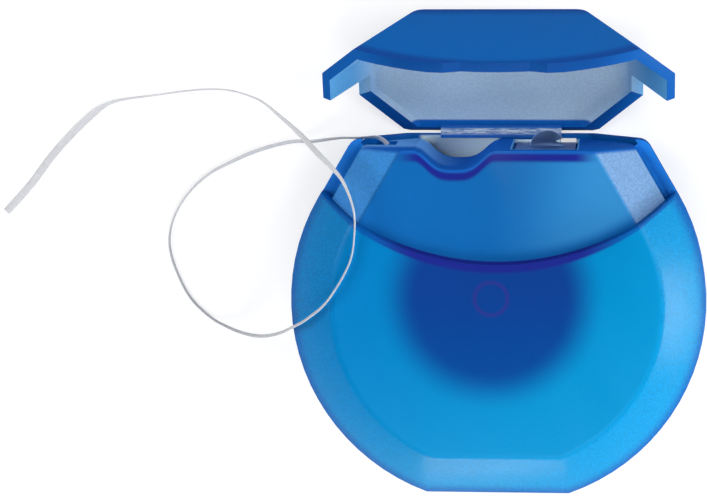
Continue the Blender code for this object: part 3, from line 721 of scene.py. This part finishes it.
def merged_copy(node):
    """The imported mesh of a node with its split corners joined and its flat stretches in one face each."""
    work = bmesh.new()
    work.from_mesh(frame["nodes"][node].data)
    bmesh.ops.remove_doubles(work, verts=work.verts, dist=MERGE_DISTANCE)
    bmesh.ops.dissolve_limit(
        work, angle_limit=math.radians(0.6), use_dissolve_boundaries=False,
        verts=work.verts, edges=work.edges,
    )
    bmesh.ops.connect_verts_concave(work, faces=work.faces)
    return work


def closed_mesh(name, work):
    """The finished mesh of closed work, with its faces turned outward."""
    bmesh.ops.recalc_face_normals(work, faces=work.faces)
    mesh = bpy.data.meshes.new(name)
    work.to_mesh(mesh)
    work.free()
    return mesh


def add_rounding(piece, name, radius, steps, limit):
    """A rounding of the edges that the limit picks."""
    edges = piece.modifiers.new(name, "BEVEL")
    edges.width = radius
    edges.segments = steps
    edges.limit_method = limit
    edges.harden_normals = True
    return edges


def round_edges(piece, radius):
    """The small radius that a mould leaves on each edge."""
    piece.data.shade_smooth()
    edges = add_rounding(piece, "mould radius", radius, EDGE_STEPS, "ANGLE")
    edges.angle_limit = EDGE_ANGLE
    edges.use_clamp_overlap = True


def soften_border(piece):
    """The wider radius along the edges that carry a bevel weight."""
    add_rounding(piece, "soft border", BORDER_RADIUS, BORDER_STEPS, "WEIGHT").use_clamp_overlap = False


def moulded_piece(node, body, materials, radius, region_of=None, is_border=None):
    """A node's shape with rounded edges.

    region_of gives the number of a face's material, and is_border picks the edges of the softer border."""
    work = merged_copy(node)
    if is_border:
        weight = work.edges.layers.float.new("bevel_weight_edge")
        for edge in work.edges:
            edge[weight] = float(is_border(edge))
    if region_of:
        hull = depth_in_hull(work)
        for face in work.faces:
            face.material_index = region_of(face, *hull(face))
    mesh = bpy.data.meshes.new(node + "_moulded")
    indices = [face.material_index for face in work.faces]
    work.to_mesh(mesh)
    work.free()
    piece = new_piece(node + "_moulded", mesh, body, materials)
    mesh.polygons.foreach_set("material_index", indices)
    if is_border:
        soften_border(piece)
    round_edges(piece, radius)
    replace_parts(piece, node)
    return piece


def depth_in_hull(work):
    """A function for a face's depth under the mesh's convex outline, and for how far it faces out."""
    outer = work.copy()
    made = bmesh.ops.convex_hull(outer, input=outer.verts)
    faces = [g for g in made["geom"] if isinstance(g, bmesh.types.BMFace)]
    tree = BVHTree.FromPolygons(
        [v.co.copy() for v in outer.verts], [[v.index for v in f.verts] for f in faces]
    )
    outer.free()

    def lies(face):
        _, normal, _, depth = tree.find_nearest(face.calc_center_median())
        return depth, normal.dot(face.normal)

    return lies


def slants(face):
    """Whether a face lies neither flat nor upright, as the bevel and the neck's facets do."""
    return UPRIGHT < face.normal.z < FLAT


def side_strip(side, insets, reaches):
    """Corners of a strip along the neck's slanting side.

    It lies between two insets from the case's outline, and between two reaches along the side."""
    (outer, inner), (low, high) = insets, reaches
    out = Vector((side * math.cos(SIDE_ANGLE), math.sin(SIDE_ANGLE)))
    along = Vector((-side * math.sin(SIDE_ANGLE), math.cos(SIDE_ANGLE)))
    corners = [(outer, low), (outer, high), (inner, high), (inner, low)]
    return [out * (CASE_RADIUS - inset) + along * reach for inset, reach in corners]


def slab_mesh(name, outline, low, high):
    """A flat closed outline in X and Y, raised from low to high."""
    work = bmesh.new()
    face = work.faces.new([work.verts.new((x, y, low)) for x, y in outline])
    raised = bmesh.ops.extrude_face_region(work, geom=[face])
    moved = [g for g in raised["geom"] if isinstance(g, bmesh.types.BMVert)]
    bmesh.ops.translate(work, verts=moved, vec=(0.0, 0.0, high - low))
    return closed_mesh(name, work)


def smooth_route(route, steps):
    """Points on a smooth curve through the route's own points."""
    points = [Vector(point) for point in route]
    padded = [points[0] * 2 - points[1], *points, points[-1] * 2 - points[-2]]
    found = []
    for a, b, c, d in zip(padded, padded[1:], padded[2:], padded[3:]):
        for step in range(steps):
            t = step / steps
            straight = 2 * b + (c - a) * t
            bent = (2 * a - 5 * b + 4 * c - d) * t**2 + (3 * b - a - 3 * c + d) * t**3
            found.append((straight + bent) / 2)
    found.append(points[-1])
    return found


def smooth_values(values, steps):
    """Numbers on a smooth curve through the values, step for step as smooth_route gives points."""
    return [point.x for point in smooth_route([(value, 0.0, 0.0) for value in values], steps)]


def tape_mesh(name, points, twists, width, thickness):
    """A flat tape along points, with rounded edges. At a twist of 0 its width lies level."""
    work = bmesh.new()
    layer = work.loops.layers.uv.new("tape")
    upright = Vector((0.0, 0.0, 1.0))
    section = []
    for side in (1, -1):
        for step in range(TAPE_EDGE_STEPS + 1):
            turn = math.pi * (step / TAPE_EDGE_STEPS - 0.5)
            section.append((
                side * (width / 2 - thickness / 2 + thickness / 2 * math.cos(turn)),
                side * thickness / 2 * math.sin(turn),
            ))
    rings = []
    for index, point in enumerate(points):
        ahead = (points[min(index + 1, len(points) - 1)] - points[max(index - 1, 0)]).normalized()
        level = ahead.cross(upright).normalized()
        up = level.cross(ahead).normalized()
        twist = math.radians(twists[index])
        wide = level * math.cos(twist) + up * math.sin(twist)
        thin = up * math.cos(twist) - level * math.sin(twist)
        rings.append([work.verts.new(point + wide * a + thin * b) for a, b in section])
    count = len(section)
    for index, (low, high) in enumerate(zip(rings, rings[1:])):
        for step in range(count):
            after = (step + 1) % count
            face = work.faces.new((low[step], low[after], high[after], high[step]))
            face.smooth = True
            for loop, (edge, along) in zip(face.loops, ((step, 0), (after, 0), (after, 1), (step, 1))):
                loop[layer].uv = (section[edge][0] / width + 0.5, (index + along) / TAPE_UV_STEPS)
    work.faces.new(rings[0])
    work.faces.new(rings[-1][::-1])
    return closed_mesh(name, work)


def helix(radius, low, high, turns, steps, way):
    """Points of a winding round the bobbin's axis, from low to high. way is 1 or -1."""
    count = turns * steps
    found = []
    for step in range(count + 1):
        turn = way * math.tau * step / steps
        height = low + (high - low) * step / count
        found.append(Vector((radius * math.cos(turn), radius * math.sin(turn), height)))
    return found


def wound_body_mesh(name, inner, outer, low, high, layer, depth):
    """The body of wound tape, turned from its section: each layer and each turn shows as a fine ridge."""
    def ridge(place):
        return depth * (0.5 - 0.5 * math.cos(math.tau * place / layer))

    across = round((outer - inner) / layer) * RIDGE_STEPS
    along = round((high - low) / (2 * layer)) * RIDGE_STEPS
    section = []
    for step in range(across + 1):
        reach = inner + (outer - inner) * step / across
        section.append((reach, low + ridge(reach - inner)))
    for step in range(1, along):
        height = low + (high - low) * step / along
        section.append((outer - ridge((height - low) / 2), height))
    for step in range(across + 1):
        reach = outer - (outer - inner) * step / across
        section.append((reach, high - ridge(outer - reach)))
    work = bmesh.new()
    uv_map = work.loops.layers.uv.new("tape")
    rings = []
    for step in range(WOUND_STEPS):
        turn = math.tau * step / WOUND_STEPS
        rings.append([
            work.verts.new((reach * math.cos(turn), reach * math.sin(turn), height))
            for reach, height in section
        ])
    count = len(section)
    for step, ring in enumerate(rings):
        after = rings[(step + 1) % WOUND_STEPS]
        for index in range(count):
            ahead = (index + 1) % count
            face = work.faces.new((ring[index], after[index], after[ahead], ring[ahead]))
            face.smooth = True
            places = ((index, 0), (index, 1), (index + 1, 1), (index + 1, 0))
            for loop, (edge, turned) in zip(face.loops, places):
                loop[uv_map].uv = (edge / RIDGE_STEPS, (step + turned) / WOUND_UV_STEPS)
    return closed_mesh(name, work)


def hex_colour(name, description, default):
    """A colour that a user can change, as an sRGB hex code."""
    return bpy.props.StringProperty(name=name, description=description, default=default)


class FLOSS_PG_case(bpy.types.PropertyGroup):
    # Painted light and shade: a lit copy of the face's blue towards the lower right, a shaded copy towards
    # the upper left
    body_lit: hex_colour("Body, lit side", "Blue of the front face towards the lower right", "#0092CF")
    body_shaded: hex_colour("Body, shaded side", "Blue of the front face towards the upper left", "#007FC4")
    # Painted shade over the bobbin, where the wound floss stops the light
    bobbin_shade: hex_colour("Over the bobbin", "Blue where the wound floss stops the light", "#044899")
    bobbin_shade_top: hex_colour(
        "Over the bobbin, top", "Blue over the bobbin next to the shoulder", "#0C4093"
    )
    # Painted shade: violet blue where one looks along a wall
    wall_depth_shade: hex_colour("Wall depth shade", "Violet blue where one looks along a wall", "#1E2A90")
    # Painted shade: the side walls deeper where one looks along them. The rear case takes this blue as its
    # own too
    side: hex_colour("Sides", "Blue of the side walls", "#0760B0")
    # Painted light on the neck, lighter at its right, and painted sheen on its slanting faces
    neck: hex_colour("Neck", "Blue of the neck under the lid", "#106AB6")
    neck_lit: hex_colour("Neck, lit side", "Blue of the neck towards the right", "#348CCC")
    neck_facet: hex_colour("Neck facet", "Blue of the slanting face at the neck's left", "#3C92DE")
    neck_facet_lit: hex_colour(
        "Neck facet, lit side", "Blue of the slanting face at the neck's right", "#78A2D2"
    )
    # Painted light: the deck paler left of the trough
    deck_lit: hex_colour("Deck, left end", "Blue of the deck left of the trough", "#78B8F6")
    deck: hex_colour("Deck", "Blue of the deck with the trough and the pocket", "#1866C2")
    rim: hex_colour("Rim", "Blue of the rear case's rim round the deck", "#1F5FA8")
    # Painted light on the ledge beside the neck, which lies in the neck's shade
    ledge: hex_colour(
        "Ledge", "Blue of the rear case's ledge beside the neck, lit through the wall", "#2688EC"
    )
    # Painted highlight on the edges round the cutter's pocket
    pocket_edge_highlight: hex_colour("Pocket edge", "Pale blue of the edges round the cutter's pocket", "#6AB0EC")
    # Painted light: pale where light comes through a thin back wall
    backlit: hex_colour("Backlit", "Pale blue of the back wall that the trough bares", "#E6FCFF")
    # Painted shade: the hub's ring, dark in the light that comes through the wall
    hub_ring_shade: hex_colour("Hub ring shade", "Violet of the ring where the hub shows through", "#3B2A8C")
    cutter_tongue: hex_colour("Cutter, tongue", "Grey blue of the cutter's bent-up tongue", "#6684B4")
    # Painted reflection: the pocket's blue on the plate's steel
    cutter_plate: hex_colour("Cutter, plate", "Blue that the plate mirrors in its pocket", "#1E62D8")
    edge_radius: bpy.props.FloatProperty(
        name="Edge radius", description="Radius that the mould leaves on each edge", default=0.22 * MM,
        min=0.0, unit="LENGTH",
    )


class FLOSS_PG_lid(bpy.types.PropertyGroup):
    outside: hex_colour("Outside", "Blue of the lid's outside", "#0C69C0")
    # Painted light: the lid's inside pale in the middle, bluer towards its ends
    inside: hex_colour("Inside", "Painted light: pale blue of the lid's inside", "#C0DAEE")
    inside_ends: hex_colour("Inside, ends", "Blue of the lid's inside towards its ends", "#5CA6DC")
    # Painted shade: deeper blue along the lid's edges and on the cut edge of its wall
    rim_shade: hex_colour("Outside, along its rim", "Deeper blue of the outside next to its edges", "#0E4EA6")
    rim: hex_colour("Rim", "Blue of the cut edge of the wall", "#0D4A94")
    rim_ends: hex_colour("Rim, ends", "Blue of the cut edge of the wall at the lid's ends", "#105CAE")
    web_white: hex_colour("Web, whitened", "Silver of the cracks along the web's fold", "#CCD6E0")
    web_dull: hex_colour("Web, between the cracks", "Dull blue between the cracks of the fold", "#3568A6")
    web_blue: hex_colour("Web, off the fold", "Blue of the web beside its fold", "#1460B4")


class FLOSS_PG_floss(bpy.types.PropertyGroup):
    # Painted shade between the filaments
    shade: hex_colour("Floss shade", "Grey between the filaments of the floss", "#9FA2AA")
    bobbin_white: hex_colour("Bobbin white", "White of the bobbin's tube", "#D9DEE2")
    width: bpy.props.FloatProperty(
        name="Tape width", description="Width of the floss tape", default=1.0 * MM, min=0.3 * MM,
        unit="LENGTH",
    )
    thickness: bpy.props.FloatProperty(
        name="Tape thickness", description="Thickness of the floss tape", default=0.12 * MM, min=0.02 * MM,
        unit="LENGTH",
    )
    white: hex_colour("Floss white", "White of the waxed floss", "#F0F1F4")


class FLOSS_PG_stage(bpy.types.PropertyGroup):
    floor_colour: hex_colour("Floor", "Colour of the floor", "#BEBEBE")
    floor_glow: bpy.props.FloatProperty(
        name="Floor glow", description="What lifts the seen floor to white", default=0.61, min=0.0, max=1.0
    )
    window_side: bpy.props.FloatVectorProperty(
        name="Bright side", description="Where the surroundings are brightest, and by how much",
        default=(0.42, -0.14, 0.0), subtype="DIRECTION",
    )
    lamp_level: bpy.props.FloatProperty(
        name="Lamps", description="Level of all the lamps, 1 for plain daylight", default=1.0, min=0.0
    )


class FLOSS_OT_camera(bpy.types.Operator):
    """Adds the camera at the photograph's place"""
    bl_idname = "floss.camera"
    bl_label = "Camera"

    def execute(self, context):
        ahead = (CAMERA_TARGET - CAMERA_PLACE).normalized()
        right = ahead.cross(Vector((0.0, 1.0, 0.0))).normalized()
        up = right.cross(ahead)
        cosine, sine = math.cos(CAMERA_ROLL), math.sin(CAMERA_ROLL)
        right, up = right * cosine + up * sine, up * cosine - right * sine
        data = bpy.data.cameras.new("camera")
        data.lens = CAMERA_LENS
        data.sensor_width = CAMERA_SENSOR
        data.clip_start = CAMERA_NEAR
        data.clip_end = CAMERA_FAR
        camera = bpy.data.objects.new("camera", data)
        context.scene.collection.objects.link(camera)
        turn = Matrix((right, up, -ahead)).transposed().to_4x4()
        camera.matrix_world = Matrix.Translation(CAMERA_PLACE) @ turn
        context.scene.camera = camera
        return {"FINISHED"}


class FLOSS_OT_free_floss(bpy.types.Operator):
    """Adds the loose floss from the outlet to its cut end"""
    bl_idname = "floss.free_floss"
    bl_label = "Loose floss"

    def execute(self, context):
        look = context.scene.floss_floss
        points = smooth_route(FREE_ROUTE, TAPE_STEPS)
        twists = smooth_values(FREE_TWIST, TAPE_STEPS)
        halves = []
        for turn in map(math.radians, twists):
            halves.append((abs(math.sin(turn)) * look.width + abs(math.cos(turn)) * look.thickness) / 2)
        for point, half in zip(points, halves):
            if point.z < LYING_BELOW:
                point.z = half
        for _ in range(LYING_SMOOTHINGS):
            heights = [point.z for point in points]
            for index in range(1, len(points) - 1):
                points[index].z = sum(heights[index - 1:index + 2]) / 3
        for point, half in zip(points, halves):
            point.z = max(point.z, half)
        mesh = tape_mesh("floss_tape", points, twists, look.width, look.thickness)
        piece = new_piece("floss_tape", mesh, "case", [waxed_floss("waxed nylon floss")])
        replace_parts(piece, "floss_free")
        return {"FINISHED"}


class FLOSS_OT_case(bpy.types.Operator):
    """Dresses the two halves of the case"""
    bl_idname = "floss.case"
    bl_label = "Case halves"

    def execute(self, context):
        look = context.scene.floss_case
        front = translucent_polypropylene(
            "blue polypropylene, front half", front_case_colour, 0.32, 0.08, sheen=0.05
        )
        deck = translucent_polypropylene("blue polypropylene, deck", deck_colour, 0.5, 0.1)
        # The slanting skin's flecks are painted glints
        slope = translucent_polypropylene(
            "blue polypropylene, slanting skin", front_case_colour, 0.26, 0.08, sheen=0.11, glint_flecks=0.1
        )
        side = translucent_polypropylene("blue polypropylene, side walls", front_case_colour, 0.5, 0.08)
        rear = translucent_polypropylene("blue polypropylene, rear half", rear_case_colour, 0.5, 0.08)
        # Painted light: a paler blue for the ledge and the lips in the neck's shade
        ledge = translucent_polypropylene("blue polypropylene, ledge", plain_colour(look.ledge), 0.5, 0.08)

        def region(face, depth, outward):
            """0 for the front face, 1 for deck and pocket, 2 for slanting faces, 3 for upright ones."""
            place = face.calc_center_median()
            up = DECK_UP if abs(place.x) < DECK_MIDDLE_HALF else DECK_END_UP
            on_deck = face.normal.y > up and place.y > TROUGH_LOW
            in_pocket = depth > POCKET_SKIN and place.y > POCKET_LOW
            if on_deck or in_pocket:
                return 1
            if outward > OUTWARD and slants(face):
                return 2
            return 3 if outward > OUTWARD and abs(face.normal.z) < UPRIGHT else 0

        def is_border(edge):
            """Whether an edge runs between the front face and a slanting one."""
            low = min(corner.co.z for corner in edge.verts)
            return low >= BORDER_LOW and any(slants(face) for face in edge.link_faces)

        finishes = [front, deck, slope, side]
        moulded_piece(
            "front_case", "case", finishes, look.edge_radius, region, is_border
        )

        def rear_region(face, depth, outward):
            """1 for the ledge beside the neck, 0 for the rest."""
            place = face.calc_center_median()
            return int(face.normal.z > LEDGE_UP and place.z > LEDGE_LOW and place.y > LEDGE_START)

        moulded_piece("rear_case", "case", [rear, ledge], look.edge_radius, rear_region)
        for name, way in (("rear_lip_left", -1), ("rear_lip_right", 1)):
            mesh = slab_mesh(name, side_strip(way, LIP_INSETS, LIP_REACH), *LIP_HEIGHTS)
            round_edges(new_piece(name, mesh, "case", [ledge]), FINE_RADIUS)
        return {"FINISHED"}


class FLOSS_OT_lid(bpy.types.Operator):
    """Dresses the lid: blue outside and rim, pale inside with painted light"""
    bl_idname = "floss.lid"
    bl_label = "Lid"

    def execute(self, context):
        outside = translucent_polypropylene("blue polypropylene, lid", lid_outside_colour, 0.42, 0.1)
        # The inside is pale with painted light, and its flecks are painted glints
        inside = translucent_polypropylene(
            "blue polypropylene, inside of the lid", lid_inside_colour, 0.5, 0.1, sheen=0.1, glint_flecks=0.05
        )
        rim = translucent_polypropylene("blue polypropylene, rim of the lid", lid_rim_colour, 0.4, 0.1)
        closed = Matrix.Rotation(LID_OPEN_ANGLE, 3, "X")

        def region(face, depth, outward):
            """0 for the outside, 1 for the inside with its painted light and 2 for the cut edge of the wall.
            """
            facing = closed @ face.normal
            height = (closed @ (face.calc_center_median() - HINGE)).y
            at_front = facing.y < RIM_DOWN and height < RIM_HEIGHT
            at_back = facing.z < RIM_BACK and depth > RIM_DEPTH
            if outward > RIM_INWARD and facing.z < RIM_FRONT and (at_front or at_back):
                return 2
            return 1 if outward < 0.0 else 0

        radius = context.scene.floss_case.edge_radius
        moulded_piece("lid", "lid", [outside, inside, rim], radius, region)
        return {"FINISHED"}


class FLOSS_OT_hinge(bpy.types.Operator):
    """Adds the thin web between case and lid"""
    bl_idname = "floss.hinge"
    bl_label = "Living hinge"

    def execute(self, context):
        finish = stress_whitened_web("stress-whitened polypropylene")
        web = moulded_piece("living_hinge", None, [finish], WEB_RADIUS)
        along = Vector((0.0, math.cos(LID_OPEN_ANGLE), -math.sin(LID_OPEN_ANGLE)))
        for corner in web.data.vertices:
            corner.co.x += math.copysign(SEAM, corner.co.x)
            if corner.co.y < HINGE.y - WEB_END:
                corner.co.y -= SEAM
            elif (corner.co - HINGE).dot(along) > WEB_END:
                corner.co += along * SEAM
        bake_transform(web)
        return {"FINISHED"}


class FLOSS_OT_cutter(bpy.types.Operator):
    """Dresses the cutter"""
    bl_idname = "floss.cutter"
    bl_label = "Cutter"

    def execute(self, context):
        look = context.scene.floss_case
        tongue = stamped_steel("stamped spring steel", look.cutter_tongue, 0.34)
        # Painted reflection: the plate's steel takes the blue of the pocket it mirrors
        plate = stamped_steel("stamped spring steel, down in the pocket", look.cutter_plate, 0.3)

        def region(face, depth, outward):
            """0 for the bent-up tongue, 1 for the plate down in the pocket."""
            return 0 if face.calc_center_median().y > TONGUE_LOW else 1

        moulded_piece("cutter", "case", [tongue, plate], FINE_RADIUS, region)
        return {"FINISHED"}


class FLOSS_OT_bobbin(bpy.types.Operator):
    """Adds the bobbin with its wound floss and the lead to the outlet"""
    bl_idname = "floss.bobbin"
    bl_label = "Bobbin"

    def execute(self, context):
        look = context.scene.floss_floss
        core = white_polypropylene("white polypropylene")
        moulded_piece("bobbin_core", "bobbin", [core], BOBBIN_RADIUS)
        white = waxed_floss("waxed nylon floss, wound")
        mesh = wound_body_mesh(
            "floss_wound_body", CORE_RADIUS + SEAM, WOUND_RADIUS, WOUND_LOW, WOUND_HIGH,
            LAYER_RIDGE, RIDGE_DEPTH,
        )
        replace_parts(new_piece("floss_wound_body", mesh, "bobbin", [white]), "floss_package")
        thick = (TURNS_RADIUS - WOUND_RADIUS) / TURN_LAYERS
        for layer in range(TURN_LAYERS):
            name = f"floss_wound_layer_{layer + 1}"
            points = helix(
                WOUND_RADIUS + thick * (layer + 0.5), WOUND_LOW + look.width / 2, WOUND_HIGH - look.width / 2,
                TURNS_A_LAYER, TURN_STEPS, 1 - 2 * (layer % 2),
            )
            mesh = tape_mesh(name, points, [90.0] * len(points), look.width, thick - TURN_GAP)
            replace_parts(new_piece(name, mesh, "bobbin", [white]), "floss_turns")
        points = smooth_route(LEAD_ROUTE, LEAD_STEPS)
        twists = [LEAD_TWIST] * len(points)
        mesh = tape_mesh("floss_lead_tape", points, twists, look.width, look.thickness)
        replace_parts(new_piece("floss_lead_tape", mesh, "case", [white]), "floss_lead")
        return {"FINISHED"}


class FLOSS_OT_stage(bpy.types.Operator):
    """Adds the floor, the soft lamps and the pale surroundings"""
    bl_idname = "floss.stage"
    bl_label = "Stage"

    def execute(self, context):
        look = context.scene.floss_stage
        corners = [(x * FLOOR_HALF, y * FLOOR_HALF, 0) for x, y in ((-1, -1), (1, -1), (1, 1), (-1, 1))]
        mesh = bpy.data.meshes.new("floor")
        mesh.from_pydata(corners, [], [(0, 1, 2, 3)])
        floor = bpy.data.objects.new("floor", mesh)
        context.scene.collection.objects.link(floor)
        floor.location.z = -FLOOR_DROP

        # Matt painted board, which glows where the camera sees it, mirrored or through the plastic too
        made, tree = new_material("pale painted board")
        path = add(tree, "ShaderNodeLightPath")
        seen = maths(tree, "MAXIMUM", path.outputs["Is Camera Ray"], path.outputs["Is Glossy Ray"])
        seen = maths(tree, "MAXIMUM", seen, path.outputs["Is Transmission Ray"])
        board = add(tree, "ShaderNodeBsdfDiffuse", values={"Color": linear(look.floor_colour)})
        glow = add(tree, "ShaderNodeEmission", {"Strength": maths(tree, "MULTIPLY", seen, look.floor_glow)})
        both = add(tree, "ShaderNodeAddShader", {0: board.outputs[0], 1: glow.outputs[0]})
        add(tree, "ShaderNodeOutputMaterial", {"Surface": both.outputs[0]})
        mesh.materials.append(made)

        for name, place, size, radiance in LAMPS:
            data = bpy.data.lights.new(name, "AREA")
            data.shape = "RECTANGLE"
            data.size, data.size_y = size
            data.energy = look.lamp_level * math.pi * size[0] * size[1] * radiance
            lamp = bpy.data.objects.new(name, data)
            context.scene.collection.objects.link(lamp)
            lamp.location = place
            lamp.rotation_euler = (-Vector(place)).to_track_quat("-Z", "Y").to_euler()

        world = bpy.data.worlds.new("soft surroundings")
        context.scene.world = world
        world.use_nodes = True
        tree = world.node_tree
        tree.nodes.clear()
        way = add(tree, "ShaderNodeTexCoord").outputs["Generated"]
        height = add(tree, "ShaderNodeSeparateXYZ", {0: way}).outputs[2]
        level = add(
            tree, "ShaderNodeMapRange", {"Value": step_between(tree, height, *SKY_FADE)},
            {"To Min": 1.0, "To Max": SKY_TOP_LEVEL},
        )
        window = add(
            tree, "ShaderNodeVectorMath", {0: way}, {1: look.window_side}, operation="DOT_PRODUCT"
        )
        towards = maths(tree, "ADD", 1.0, window.outputs["Value"])
        glow = maths(tree, "MULTIPLY", level.outputs["Result"], towards)
        sky = add(tree, "ShaderNodeBackground", {"Strength": glow})
        add(tree, "ShaderNodeOutputWorld", {"Surface": sky.outputs[0]})
        context.scene.view_settings.view_transform = "Standard"
        return {"FINISHED"}


class FLOSS_PT_panel(bpy.types.Panel):
    bl_label = "Floss Dispenser"
    bl_idname = "FLOSS_PT_panel"
    bl_space_type = "VIEW_3D"
    bl_region_type = "UI"
    bl_category = "Floss"

    def draw(self, context):
        for operator in OPERATORS:
            self.layout.operator(operator.bl_idname)
        for group in GROUPS:
            settings = getattr(context.scene, group)
            for name in settings.bl_rna.properties.keys():
                if name not in {"rna_type", "name"}:
                    self.layout.prop(settings, name)


GROUPS = {
    "floss_case": FLOSS_PG_case,
    "floss_lid": FLOSS_PG_lid,
    "floss_floss": FLOSS_PG_floss,
    "floss_stage": FLOSS_PG_stage,
}
OPERATORS = [
    FLOSS_OT_camera,
    FLOSS_OT_free_floss,
    FLOSS_OT_case,
    FLOSS_OT_lid,
    FLOSS_OT_hinge,
    FLOSS_OT_cutter,
    FLOSS_OT_bobbin,
    FLOSS_OT_stage,
]


def register():
    for group in GROUPS.values():
        bpy.utils.register_class(group)
    for name, group in GROUPS.items():
        setattr(bpy.types.Scene, name, bpy.props.PointerProperty(type=group))
    for made in [*OPERATORS, FLOSS_PT_panel]:
        bpy.utils.register_class(made)


def unregister():
    for made in [FLOSS_PT_panel, *reversed(OPERATORS)]:
        bpy.utils.unregister_class(made)
    for name, group in GROUPS.items():
        delattr(bpy.types.Scene, name)
        bpy.utils.unregister_class(group)


def main():
    register()
    for operator in OPERATORS:
        group, name = operator.bl_idname.split(".")
        getattr(getattr(bpy.ops, group), name)()


if __name__ == "__main__":
    main()
